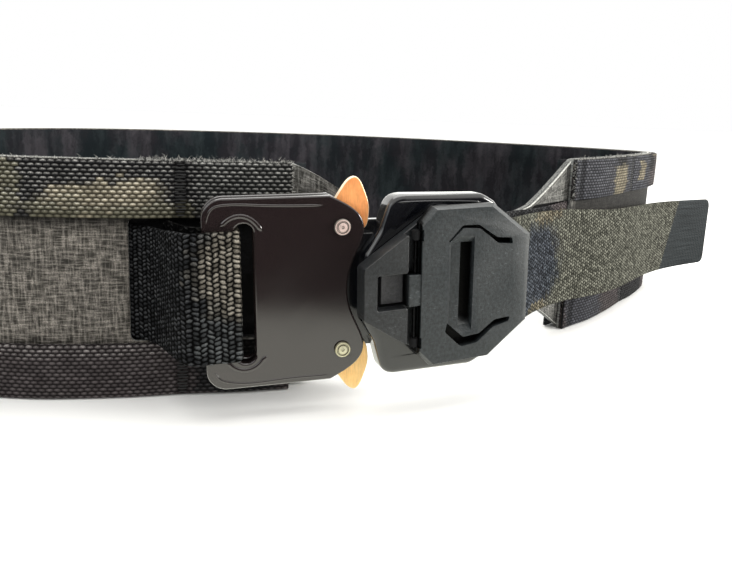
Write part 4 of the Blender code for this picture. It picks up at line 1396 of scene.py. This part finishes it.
def tack_threads(name, low):
    """Bar tacks: close threads laid across the row, one above the other."""
    runs = []
    count = math.floor((RIGHT_END - TACK_START - TACK_SPACING / 2) / TACK_SPACING) + 1
    spread = np.linspace(-0.5, 0.5, 5)
    for tack in range(count):
        middle = TACK_START + tack * TACK_SPACING
        for thread in range(TACK_THREADS):
            height = low + TACK_MARGIN + (ROW_HEIGHT - 2 * TACK_MARGIN) * thread / (TACK_THREADS - 1)
            along = middle + spread * TACK_LENGTH + 0.25 * math.sin(thread * 2.3 + tack)
            depth = TACK_DEPTH + 0.5 * np.abs(spread) ** 2
            runs.append(thread_points(along, depth, height + 0.15 * math.sin(thread * 1.7)))
    return beads(name, runs, TACK_RADIUS, "bonded_thread")


def band(name, along, heights, depth, thickness, looks, keep=None, shift=None):
    """A thin band on a grid of lengths and heights, thickened inwards from a depth; the rim takes the
    second material. keep says which cells stay, and shift moves points along the belt."""
    columns, rows = len(along), len(heights)
    place, level = np.meshgrid(along, heights, indexing="ij")
    if shift is not None:
        place = place + shift(place, level)
    x, y = loop.at(place, depth + thickness / 2)
    points = to_metres(np.stack([x, y, level], axis=-1).reshape(-1, 3))
    faces = []
    for i in range(columns - 1):
        for j in range(rows - 1):
            if keep is None or keep(along[i + 1], heights[j], heights[j + 1]):
                here, after = i * rows + j, (i + 1) * rows + j
                faces.append((here, after, after + 1, here + 1))
    mesh = bpy.data.meshes.new(name)
    mesh.from_pydata(points.tolist(), [], faces)
    set_unrolled(mesh, np.stack([place, level], axis=-1).reshape(-1, 2)[np.ravel(faces)])
    loose = bmesh.new()
    loose.from_mesh(mesh)
    bmesh.ops.delete(loose, geom=[v for v in loose.verts if not v.link_faces], context="VERTS")
    loose.to_mesh(mesh)
    loose.free()
    piece = finish_piece(mesh, name, looks, "belt")
    wall = piece.modifiers.new("wall", "SOLIDIFY")
    wall.thickness = thickness * MM
    wall.offset = 0.0
    wall.use_even_offset = True
    wall.material_offset_rim = len(looks) - 1
    return piece


def make_bands():
    """Lining, and outer panel with the window that the buckle's strap comes out of."""
    heights = np.linspace(LINER_MARGIN, BELT_HEIGHT - LINER_MARGIN, 9)
    along = stations(LEFT_LINER_END, loop.total - RIGHT_LINER_END, BAND_STEP)
    liner = band("lining_band", along, heights, LINER_DEPTH, LINER_THICKNESS,
                 ["brushed_lining"])
    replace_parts(liner, "inner_liner")

    along = np.concatenate([np.linspace(LEFT_WING_END, LEFT_WINDOW_EDGE, 20),
                            stations(LEFT_WINDOW_EDGE, RIGHT_END, BAND_STEP)[1:]])
    bends = [WINDOW_CORNER * (1 - math.cos(math.radians(angle))) for angle in (0, 30, 60, 90)]
    heights = [0.0, PANEL_MARGIN, *(CHANNEL_LOW + bend for bend in bends),
               *np.linspace(*PANEL_MIDDLE, 7), *(CHANNEL_HIGH - bend for bend in reversed(bends)),
               BELT_HEIGHT - PANEL_MARGIN, BELT_HEIGHT]

    def corner(place, level):
        """Rounds the two corners of the window."""
        rise = np.minimum(level - CHANNEL_LOW, CHANNEL_HIGH - level)
        inside = (rise > -1e-6) & (rise < WINDOW_CORNER)
        reach = WINDOW_CORNER - np.clip(rise, 0.0, WINDOW_CORNER)
        back = WINDOW_CORNER - np.sqrt(np.maximum(WINDOW_CORNER ** 2 - reach ** 2, 0.0))
        return np.where(inside & (np.abs(place - LEFT_WINDOW_EDGE) < 0.01), -back, 0.0)

    def solid(right, low, high):
        """False inside the window."""
        between = low > CHANNEL_LOW - 0.01 and high < CHANNEL_HIGH + 0.01
        return not (between and right <= LEFT_WINDOW_EDGE + 0.01)

    panel = band("hatched_panel", along, heights, PANEL_DEPTH, PANEL_THICKNESS,
                 ["hatched_laminate", "laminate_inner_edge"], solid, corner)
    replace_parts(panel, "outer_panel")


def make_inner_belt():
    """The inner laminate with its strap channel, its plies showing on the cut edges."""
    along = stations(LEFT_TONGUE_END, loop.total - RIGHT_TONGUE_END, BAND_STEP)
    taper = np.maximum(np.interp(along, *zip(*LEFT_TAPER)),
                       np.interp(loop.total - along, *zip(*RIGHT_TAPER)))
    low = np.maximum(CHANNEL_LOW, taper + TONGUE_RAIL)
    high = BELT_HEIGHT - low
    section = [(INNER_DEPTH, low), (CHANNEL_FLOOR, low), (CHANNEL_FLOOR, high), (INNER_DEPTH, high)]
    section += [(INNER_DEPTH + depth, BELT_HEIGHT - taper - notch) for depth, notch in PLIES]
    section += [(INNER_DEPTH + depth, taper + notch) for depth, notch in reversed(PLIES)]
    depths = np.stack([np.full_like(along, depth) for depth, _ in section], axis=-1)
    levels = np.stack([level for _, level in section], axis=-1)
    x, y = loop.at(np.broadcast_to(along[:, None], depths.shape), depths)
    rings = np.stack([x, y, levels], axis=-1)
    middle = rings[len(rings) // 2]
    around = running_length(np.concatenate([middle, middle[:1]]))
    # the channel's floor and walls take the near black of painted shade
    pale, dull, dark = 1, 2, 3
    rows = [(0, dark), (1, dark), (2, dark), (4, pale), (14, pale)]
    rows += [(k, dull) for k in (5, 6, 7, 8, 10, 11, 12, 13)]
    looks = ["hatched_laminate", "laminate_cut_edge", "laminate_inner_edge", "channel_lining"]
    belt = skin("inner_laminate", rings, along, around, looks, rows, sharp=30.0)
    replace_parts(belt, "inner_belt")


def resampled(points, ups, places):
    """Middle points, up directions and tangents of a route at the given lengths."""
    lengths = running_length(points)

    def read(values, at):
        columns = np.asarray(values, float).T
        return np.stack([np.interp(at, lengths, column) for column in columns], axis=-1)

    middle = (read(points, places - 0.35) + read(points, places) * 2 + read(points, places + 0.35)) / 4
    up = unit(read(ups, places))
    tangent = np.gradient(middle, axis=0)
    tangent -= up * np.einsum("ij,ij->i", tangent, up)[:, None]
    return middle, up, unit(tangent)


def ribbon(name, points, ups, plain_length, zero, look, corner=0.0, tuck=0.0):
    """A strap along a route. Its first plain_length lies hidden in the channel and is coarse; zero is
    the length where its unrolled coordinates start. corner rounds its free end, and tuck is how far
    its upper edge is drawn in where it leaves the channel."""
    total = running_length(points)[-1]
    step = STRAP_PITCH / SAMPLES_ALONG
    first = zero - math.floor((zero - plain_length) / step) * step
    places = np.concatenate([np.arange(0.0, plain_length, BAND_STEP * 2),
                             np.arange(first, total - step / 3, step), [total]])
    middle, up, tangent = resampled(points, ups, places)
    out = np.cross(tangent, up)
    section, around = webbing_section(STRAP_WIDTH, STRAP_THICKNESS, STRAP_ROW)
    across, height, share = section.T
    along = places - zero
    near_end = np.maximum(corner - (total - places), 0.0)
    reach = STRAP_WIDTH / 2 - corner + np.sqrt(np.maximum(corner ** 2 - near_end ** 2, 0.0))
    relief = strap_relief(along[:, None], across[None, :]) * WEAVE_RELIEF * share[None, :]
    relief = relief * (places > plain_length - 1.0)[:, None]
    side = (across - STRAP_WIDTH / 2)[None, :] * (reach / (STRAP_WIDTH / 2))[:, None]
    drawn = tuck * (1.0 - ease((along - TUCK_START) / TUCK_FADE)) * (along > TUCK_LIMIT)
    side = side - drawn[:, None] * np.maximum(side / (STRAP_WIDTH / 2), 0.0)
    lift = height[None, :] + relief - WEAVE_RELIEF / 2
    rings = middle[:, None, :] + up[:, None, :] * side[..., None] + out[:, None, :] * lift[..., None]
    return skin(name, rings, along, around, [look])


def seat_axes(yaw):
    """Along, inward and up directions of a buckle frame: it is rolled, then turned upright."""
    roll, turn = math.radians(BUCKLE_ROLL), math.radians(yaw)
    level = Vector((math.cos(turn), math.sin(turn), 0.0))
    along = level * math.cos(roll) + RISE * math.sin(roll)
    up = RISE * math.cos(roll) - level * math.sin(roll)
    return along, up.cross(along), up


def seat_matrix(corner, yaw):
    """Place of a buckle frame in metres."""
    matrix = Matrix(seat_axes(yaw)).transposed().to_4x4()
    matrix.translation = Vector(to_metres(corner))
    return matrix


FEMALE_SEAT = seat_matrix(FEMALE_CORNER, FEMALE_YAW)
MALE_SEAT = seat_matrix(MALE_CORNER, MALE_YAW)


def seat_route(corner, yaw, points, height):
    """Plan points of a strap in a buckle frame, and the frame's up direction."""
    along, inward, up = seat_axes(yaw)
    return [Vector(corner) + along * x + inward * y + up * height for x, y in points], up


def turned_between(count, first, last):
    """Up directions that go over from the first to the last."""
    return [first.lerp(last, float(ease((i + 1) / (count + 1)))).normalized() for i in range(count)]


def channel_run(first, last):
    """Middle points of a strap in its channel, between two lengths along the belt."""
    x, y = loop.at(np.linspace(first, last, 200), INNER_DEPTH + STRAP_THICKNESS / 2)
    return [Vector((a, b, MID_HEIGHT)) for a, b in zip(x, y)]


def route_length(points):
    return sum((after - before).length for before, after in zip(points, points[1:]))


def open_curve(points, count):
    """A smooth open run through points."""
    return [Vector(point) for point in smooth_curve([tuple(point) for point in points], False, count)]


def make_left_strap():
    """Out of the panel's window, round the plate's bar and back; the rest lies in the channel."""
    channel = channel_run(loop.total / 2 - GAP / 2, LEFT_EXIT)
    wrap = ([(2.0, -STRAP_WRAP)] + arc((SLOT_LEFT, 0.0), STRAP_WRAP, -90, 0, 12)
            + arc((SLOT_LEFT, FEMALE_THICKNESS), STRAP_WRAP, 0, 90, 12))
    bar, up = seat_route(FEMALE_CORNER, FEMALE_YAW, wrap, LEFT_STRAP_OFFSET)
    ramp = [Vector((x, y, MID_HEIGHT)) for x, y in LEFT_RAMP]
    ramp = open_curve([channel[-1], *ramp, *bar[:2]], 80)[1:-1]
    back = open_curve([bar[-1]] + [(x, y, MID_HEIGHT) for x, y in LEFT_RETURN], 50)[1:]
    ups = [RISE] * len(channel) + turned_between(len(ramp), RISE, up) + [up] * (len(bar) - 1)
    ups += turned_between(len(back), up, RISE)
    window = route_length(channel)
    strap = ribbon("buckle_strap", channel + ramp + bar[1:] + back, ups, window - LEFT_WOVEN_BEFORE,
                   window, "buckle_strap", tuck=LEFT_TUCK)
    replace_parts(strap, "left_strap")


def make_right_strap():
    """Through the male half's adjuster and out as the free tail; the rest lies in the channel."""
    channel = channel_run(loop.total / 2 + GAP / 2, RIGHT_END - 1.0)
    cross_left, cross_right = HOUSING_WINDOW[1], HOUSING_RIGHT
    under = [(cross_right, HOUSING_BACK + STRAP_WRAP), (cross_left, HOUSING_BACK + STRAP_WRAP)]
    wrap = arc((ADJUSTER_X, ADJUSTER_Y), ADJUSTER_RADIUS + STRAP_WRAP, 80, 280, 40)
    over = [OVER_ADJUSTER, (cross_left, HOUSING_FRONT - STRAP_WRAP)]
    over += arc((cross_right, HOUSING_FRONT), STRAP_WRAP, -90, TAIL_LEAVING_ANGLE, 4)
    adjuster, up = seat_route(MALE_CORNER, MALE_YAW, under + wrap + over, HOUSING_CENTRE)
    start, end = channel[-1], adjuster[0]
    reach = []
    for share, climb in RIGHT_REACH:
        point = start.lerp(end, share)
        point.z = start.z + (end.z - start.z) * climb
        reach.append(point)
    tail = open_curve([adjuster[-1], *TAIL_ROUTE], 260)[1:]
    quarter = len(tail) // 4
    ups = [RISE] * (len(channel) + 1) + turned_between(2, RISE, up) + [up] * len(adjuster)
    ups += turned_between(quarter, up, RISE) + [RISE] * (len(tail) - quarter)
    inside = channel + reach + adjuster
    strap = ribbon("tail_strap", inside + tail, ups, route_length(channel) - RIGHT_WOVEN_BEFORE,
                   route_length(inside), "tail_strap", TAIL_CORNER)
    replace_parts(strap, "right_strap")


def slab(name, outlines, front, back, edge, finish, body="belt"):
    """A flat piece with rounded edges, cut to outlines in its frame's X and Z; finish holds its look,
    its slot, which is not used, and its frame."""
    look, slot, seat = finish
    curve = bpy.data.curves.new(name, "CURVE")
    curve.dimensions = "2D"
    curve.fill_mode = "BOTH"
    curve.bevel_depth = edge * MM
    curve.bevel_resolution = 3
    curve.offset = -edge * MM
    curve.extrude = ((back - front) / 2 - edge) * MM
    for outline in outlines:
        spline = curve.splines.new("POLY")
        spline.points.add(len(outline) - 1)
        for point, (x, z) in zip(spline.points, outline):
            point.co = (x * MM, z * MM, 0.0, 1.0)
        spline.use_cyclic_u = True
    sketch = placed(name + "_sketch", curve)
    mesh = applied(sketch)
    bpy.data.objects.remove(sketch)
    solid = bmesh.new()
    solid.from_mesh(mesh)
    bmesh.ops.remove_doubles(solid, verts=solid.verts, dist=1e-6)
    for vertex in solid.verts:
        vertex.co = (vertex.co.x, (front + back) / 2 * MM - vertex.co.z, vertex.co.y)
    bmesh.ops.recalc_face_normals(solid, faces=solid.faces)
    solid.to_mesh(mesh)
    solid.free()
    mesh.name = name
    piece = finish_piece(mesh, name, [look], body, seat, sharp=50.0)
    even = piece.modifiers.new("even", "WEIGHTED_NORMAL")
    even.keep_sharp = True
    return piece


def applied(piece):
    """A piece's mesh with all that is done to it."""
    bpy.context.view_layer.update()
    return bpy.data.meshes.new_from_object(piece.evaluated_get(bpy.context.evaluated_depsgraph_get()))


def plate_outline():
    """Edge of the female plates: round corners on the left, lobes round the rivets and a waist."""
    corner = arc((PLATE_CORNER, PLATE_HALF_HEIGHT - PLATE_CORNER), PLATE_CORNER, 180, 90, 12)
    side = smooth_curve([*PLATE_RIGHT_SIDE, PLATE_WAIST], False, 30)[:-1]
    return mirrored(corner + [tuple(point) for point in side])


def slot_outline(left, right, half_height):
    """A slot with round ends."""
    radius = (right - left) / 2
    return mirrored(arc(((left + right) / 2, half_height - radius), radius, 0, 180, 8))


def rivet_hole(side):
    return arc((RIVET_X, side * RIVET_Z), RIVET_HOLE, 0, 360 - 360 / 32, 31)


def ridge(name, path, width, height, depth, finish):
    """A low raised line on a face at a depth: a flattened bead with its ends drawn out."""
    look, slot, seat = finish
    path = smooth_curve([(x, z, 0.0) for x, z in path], False, 12 * len(path))[:, :2]
    tangent = unit(np.gradient(path, axis=0))
    side = np.stack([-tangent[:, 1], tangent[:, 0]], axis=-1)
    share = np.linspace(0.0, 1.0, len(path))
    fade = np.sqrt(np.clip(np.minimum(share, 1 - share) * 14.0, 0.02, 1.0))
    angles = np.arange(10) * 2 * math.pi / 10
    vertices = []
    for point, across, thin in zip(path, side, fade):
        for angle in angles:
            x, z = point + across * (math.cos(angle) * width / 2 * thin)
            vertices.append((x * MM, (depth - math.sin(angle) * height * thin) * MM, z * MM))
    mesh = closed_mesh(name, vertices, tube_faces(len(path), len(angles)))
    return finish_piece(mesh, name, [look], "belt", seat, sharp=80.0)


def turned(name, profile, centre, look):
    """A turned piece of the female half about an axis through centre (x, z)."""
    angles = [2 * math.pi * k / 40 for k in range(40)]
    vertices = [((centre[0] + radius * math.cos(angle)) * MM, depth * MM,
                 (centre[1] + radius * math.sin(angle)) * MM)
                for radius, depth in profile for angle in angles]
    mesh = closed_mesh(name, vertices, tube_faces(len(profile), len(angles)))
    return finish_piece(mesh, name, [look], "belt", FEMALE_SEAT, sharp=30.0)


def make_female():
    """The plates with their pressed rims, the bar's spacer, rivets and release levers."""
    plates = ("gloss_black_plate", "buckle_black", FEMALE_SEAT)
    slot = slot_outline(SLOT_LEFT, SLOT_RIGHT, SLOT_HALF_HEIGHT)
    outlines = [plate_outline(), slot, rivet_hole(1), rivet_hole(-1)]
    front = slab("slotted_plate", outlines, 0.0, PLATE_THICKNESS, PLATE_EDGE, plates)
    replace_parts(front, "buckle_front_plate")
    spacer = rounded(mirrored([(x, SPACER_HALF_HEIGHT) for x in (SPACER_LEFT, SLOT_LEFT - GAP)]),
                     SPACER_CORNER)
    slab("bar_spacer", [spacer], PLATE_THICKNESS - SPACER_SINK, BACK_PLATE_FRONT - GAP, SPACER_EDGE,
         plates)
    back = slab("back_plate", outlines, BACK_PLATE_FRONT, FEMALE_THICKNESS, BACK_PLATE_EDGE, plates)
    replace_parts(back, "buckle_back_plate")
    for name, width, height, path in PRESSED_RIMS:
        ridge(name, path, width, height, RIM_DEPTH, plates)
    tip = smooth_curve(LEVER_OUTLINE[:LEVER_TIP_POINTS], False, 44)
    outline = [*tip, *LEVER_OUTLINE[LEVER_TIP_POINTS:], *arc((0.0, 0.0), LEVER_RING, 220, 340, 12)]
    for name, side, bronze, steel in (("upper", 1, "bronze_lever", "rivet_steel"),
                                      ("lower", -1, "pale_bronze_lever", "warm_rivet_steel")):
        shape = [(RIVET_X + x, side * (RIVET_Z + z)) for x, z in outline]
        lever = slab(name + "_release_lever", [shape, rivet_hole(side)], LEVER_FRONT,
                     LEVER_FRONT + LEVER_THICKNESS, LEVER_EDGE, (bronze, "bronze", FEMALE_SEAT),
                     body=name + "_lever_body")
        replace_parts(lever, name + "_lever")
        rivet = turned(name + "_plate_rivet", RIVET_PROFILE, (RIVET_X, side * RIVET_Z), steel)
        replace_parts(rivet, name + "_rivet")


def make_male():
    """The cast housing with its tongue, and the looks of the adjuster bar and the hinge pin."""
    turn = math.radians(HOUSING_TURN)
    edge = rounded(mirrored([(x, z + HOUSING_RAISE) for x, z in HOUSING_OUTLINE]), HOUSING_CORNER)
    edge = [(x * math.cos(turn) - z * math.sin(turn), x * math.sin(turn) + z * math.cos(turn))
            for x, z in edge]
    window = rounded(mirrored([(x, HOUSING_WINDOW_HALF_HEIGHT) for x in HOUSING_WINDOW]),
                     HOUSING_WINDOW_CORNER)
    outlines = [[(x, z + (HOUSING_CENTRE + HOUSING_RAISE)) for x, z in edge],
                [(x, z + HOUSING_CENTRE) for x, z in window]]
    casting = ("gloss_black_casting", "buckle_black", MALE_SEAT)
    tongue = ("gloss_black_casting", "buckle_black", FEMALE_SEAT)
    housing = slab("cast_housing", outlines, HOUSING_FRONT, HOUSING_BACK, HOUSING_EDGE, casting)
    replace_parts(housing, "male_housing")
    slab("housing_tongue", [mirrored(TONGUE_OUTLINE)], LEVER_FRONT, LEVER_FRONT + LEVER_THICKNESS,
         TONGUE_EDGE, tongue)
    slab("tongue_shoulder", [rounded(mirrored(SHOULDER_OUTLINE), SHOULDER_CORNER)], BACK_PLATE_FRONT,
         FEMALE_THICKNESS, SHOULDER_EDGE, tongue)
    ridge("housing_ridge", HOUSING_RIDGE, HOUSING_RIDGE_WIDTH, HOUSING_RIDGE_HEIGHT, HOUSING_FRONT,
          casting)
    for node, look in (("adjuster_bar", "satin_black_bar"), ("hinge_pin", "pin_steel")):
        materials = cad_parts[node].data.materials
        materials.clear()
        materials.append(LOOKS[look])


def make_base():
    """Polymer base: a back plate, a raised frame round a window, its floor and the pin's ears."""
    hole = mirrored([(x, WINDOW_HALF_HEIGHT) for x in (WINDOW_LEFT, WINDOW_RIGHT)])
    behind = mirrored([(x, WINDOW_HALF_HEIGHT + SHADE_SHEET_MARGIN)
                       for x in (WINDOW_LEFT - SHADE_SHEET_MARGIN, WINDOW_RIGHT + SHADE_SHEET_MARGIN)])
    floor = [(WINDOW_FLOOR_LEFT, WINDOW_FLOOR_TOP), (WINDOW_FLOOR_RIGHT, WINDOW_FLOOR_TOP),
             (WINDOW_FLOOR_RIGHT, WINDOW_FLOOR_BOTTOM), (WINDOW_FLOOR_LEFT, WINDOW_FLOOR_BOTTOM)]
    left, low = BASE_OUTLINE[0]
    raised = mirrored([(left, low), (BASE_EDGE, low + (BASE_EDGE - left) * FRAME_SLOPE),
                       (BASE_EDGE, FRAME_INNER_HALF_HEIGHT), (WINDOW_LEFT, FRAME_INNER_HALF_HEIGHT)])
    plate = [rounded(mirrored(BASE_OUTLINE), BASE_CORNER), hole]
    frame_edge = [rounded(raised, FRAME_CORNER)]
    back_face = BASE_BACK - BACK_INSET
    for name, outlines, front, back, edge, look in (
            # name, outlines, front, back, edge, look
            ("base_plate", plate, BASE_STEP, BASE_BACK, POLYMER_EDGE, "base_polymer"),
            ("raised_frame", frame_edge, BASE_FRONT, FRAME_BACK, POLYMER_EDGE, "base_polymer"),
            ("window_floor", [floor], WINDOW_FLOOR_FRONT, back_face, FLOOR_EDGE, "window_floor"),
            # black sheet behind the window floor, painted shade round its edges
            ("window_shade_sheet", [behind], SHADE_SHEET_FRONT, back_face, FLOOR_EDGE, "satin_black_bar")):
        piece = slab(name, outlines, front, back, edge, (look, "polymer", MALE_SEAT))
        if name == "base_plate":
            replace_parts(piece, "cover_base")
    hinge_ear("upper_hinge_ear", EAR_LOW, EAR_HIGH)
    hinge_ear("lower_hinge_ear", -EAR_HIGH, -EAR_LOW)


def hinge_ear(name, low, high):
    """A round ear of the base about the hinge pin."""
    radius = EAR_RADIUS * MM
    solid = bmesh.new()
    bmesh.ops.create_cone(solid, cap_ends=True, segments=32, radius1=radius, radius2=radius,
                          depth=(high - low) * MM)
    bmesh.ops.translate(solid, verts=solid.verts, vec=Vector((PIN_X, PIN_Y, (low + high) / 2)) * MM)
    rims = [e for e in solid.edges if len(e.link_faces) == 2 and e.calc_face_angle() > 1.0]
    bmesh.ops.bevel(solid, geom=rims, offset=EAR_EDGE * MM, segments=2, affect="EDGES")
    mesh = bpy.data.meshes.new(name)
    solid.to_mesh(mesh)
    solid.free()
    # the ear is near black, painted shade in the slot
    return finish_piece(mesh, name, ["channel_lining"], "belt", MALE_SEAT, sharp=40.0)


def prism(name, levels):
    """A closed body between outlines at depths; levels holds (depth, outline) pairs."""
    vertices = [(x * MM, depth * MM, z * MM) for depth, shape in levels for x, z in shape]
    return placed(name, closed_mesh(name, vertices, tube_faces(len(levels), len(levels[0][1]))))


def cut_by(target, tool, operation="DIFFERENCE"):
    """Cuts a tool away from a target, or joins it, and applies the result."""
    step = target.modifiers.new("cut", "BOOLEAN")
    step.operation = operation
    step.solver = "EXACT"
    step.object = tool
    mesh = applied(target)
    target.modifiers.remove(step)
    target.data = mesh
    bpy.data.objects.remove(tool)


def tab_slot(line, side):
    """Outline of a slot beside the sprung tab, from its outer line and its widths."""
    outer = [(x, z) for x, z, _ in line]
    inner = [(x + 0.25 * width, z - side * width) for x, z, width in line]
    return rounded(outer + inner[::-1], TAB_SLOT_CORNER, 3)


def make_cover():
    """The eight-sided cover: sloped rims, a sprung tab between two slots, a stepped finger pocket."""
    edge = mirrored(COVER_OUTLINE)
    cover = prism("hinged_cover", [(0.0, inset(edge, COVER_SLOPES)),
                                   (SLOPE_DEPTH, inset(edge, [RIM_STEP] * len(edge))),
                                   (RIM_STEP_DEPTH, edge), (COVER_THICKNESS, edge)])
    cuts = []
    for line, side in ((UPPER_TAB_SLOT, 1), (LOWER_TAB_SLOT, -1)):
        shape = tab_slot(line, side)
        cuts.append(("slot_cutter", [(-1.0, shape), (COVER_THICKNESS - COVER_FLOOR, shape)]))
    cuts.append(("pocket_cutter", [(-1.0, POCKET_LIP), (0.0, POCKET_LIP),
                                   (POCKET_DEPTH, POCKET_FLOOR)]))
    cuts.append(("groove_cutter", [(-1.0, GROOVE_TOP), (GROOVE_TOP_DEPTH, GROOVE_TOP),
                                   (GROOVE_DEPTH, GROOVE_FLOOR)]))
    for low, high in ((EAR_LOW - GAP, EAR_HIGH + GAP), (-EAR_HIGH - GAP, -EAR_LOW + GAP)):
        room = [(-1.0, low), (EAR_ROOM, low), (EAR_ROOM, high), (-1.0, high)]
        cuts.append(("ear_cutter", [(-1.0, room), (COVER_THICKNESS + 1.0, room)]))
    for name, levels in cuts:
        cut_by(cover, prism(name, levels))
    lug = mirrored(LUG_HALF)
    cut_by(cover, prism("lug", list(zip(LUG_DEPTHS, (inset(lug, LUG_SLOPES), lug, lug)))), "UNION")
    mesh = cover.data
    mesh.name = "hinged_cover"
    bpy.data.objects.remove(cover)
    piece = finish_piece(mesh, "hinged_cover", ["cover_polymer"], "cover", MALE_SEAT,
                         sharp=30.0)
    soft = piece.modifiers.new("soft", "BEVEL")
    soft.width = COVER_SOFTNESS * MM
    soft.segments = 2
    soft.limit_method = "ANGLE"
    soft.angle_limit = math.radians(SOFT_ANGLE)
    soft.harden_normals = True
    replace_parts(piece, "cover_plate")


make_bands()
make_inner_belt()
UPPER_ROW_LOW = BELT_HEIGHT - ROW_HEIGHT
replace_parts(webbing_row("upper_woven_row", UPPER_ROW_LOW, "upper_row"), "upper_webbing")
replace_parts(webbing_row("lower_woven_row", 0.0, "lower_row"), "lower_webbing")
tack_threads("upper_bar_tacks", UPPER_ROW_LOW)
tack_threads("lower_bar_tacks", 0.0)
edge_fibres("upper_edge_fibres", FIBRE_RUNS)
end_fringe("left_end_fringe", LEFT_WING_END, -1.0)
end_fringe("right_end_fringe", RIGHT_END, 1.0)
make_left_strap()
make_right_strap()
make_female()
make_male()
make_base()
make_cover()


def make_floor():
    """A plain pale floor."""
    result, _, shader = new_material("pale_floor")
    shader["Base Color"].default_value = (0.93, 0.93, 0.93, 1.0)
    shader["Roughness"].default_value = 0.9
    mesh = bpy.data.meshes.new("floor")
    corners = [(x * FLOOR_HALF, y * FLOOR_HALF, -FLOOR_DROP)
               for x, y in ((-1, -1), (1, -1), (1, 1), (-1, 1))]
    mesh.from_pydata(corners, [], [(0, 1, 2, 3)])
    mesh.materials.append(result)
    floor = placed("floor", mesh)
    floor.visible_glossy = False


def make_light():
    """Soft studio light: a bright ceiling, a dark side behind the camera and a pale ground below."""
    world = bpy.data.worlds.new("studio")
    bpy.context.scene.world = world
    world.use_nodes = True
    t = Tree(world.node_tree)
    background = world.node_tree.nodes["Background"].inputs
    _, y, z = t.split(t.add("TexCoord")["Generated"])
    up = t.range(z, *CEILING_FADE, smooth=True)
    down = t.range(z, *GROUND_FADE, smooth=True)
    behind = t.range(y, *FAR_FADE, smooth=True)
    shade = t.mix(behind, NEAR_TONE, FAR_TONE)
    shade = t.mix(down, shade, GROUND_TONE)
    shade = t.mix(up, shade, CEILING_TONE)
    seen = t.add("LightPath")["Is Camera Ray"]
    t.set(background["Color"], t.mix(seen, shade, SEEN_TONE))
    background["Strength"].default_value = 1.0
    for name, place, size, power, tint in SOFTBOXES:
        light = bpy.data.lights.new(name, "AREA")
        light.size = size
        light.energy = power
        light.color = tint
        lamp = placed(name, light)
        lamp.location = place
        lamp.rotation_euler = (LIT_POINT - Vector(place)).to_track_quat("-Z", "Y").to_euler()


def make_camera():
    """The camera at the photograph's angle."""
    camera = bpy.data.cameras.new("camera")
    camera.sensor_width = SENSOR_WIDTH
    camera.lens = FOCAL_PIXELS / IMAGE_WIDTH * SENSOR_WIDTH
    camera.shift_y = -CENTRE_DROP / IMAGE_WIDTH
    camera.clip_start = 0.005
    holder = placed("camera", camera)
    turn = Matrix.Rotation(math.radians(-CAMERA_HEADING), 4, "Z")
    tilt = Matrix.Rotation(math.radians(90.0 - CAMERA_PITCH), 4, "X")
    roll = Matrix.Rotation(math.radians(CAMERA_ROLL), 4, "Z")
    place = Matrix.Translation(Vector(to_metres((0.0, 0.0, CAMERA_HEIGHT))))
    holder.matrix_world = place @ turn @ tilt @ roll
    bpy.context.scene.camera = holder


make_floor()
make_light()
make_camera()
bpy.context.scene.view_settings.view_transform = "Standard"
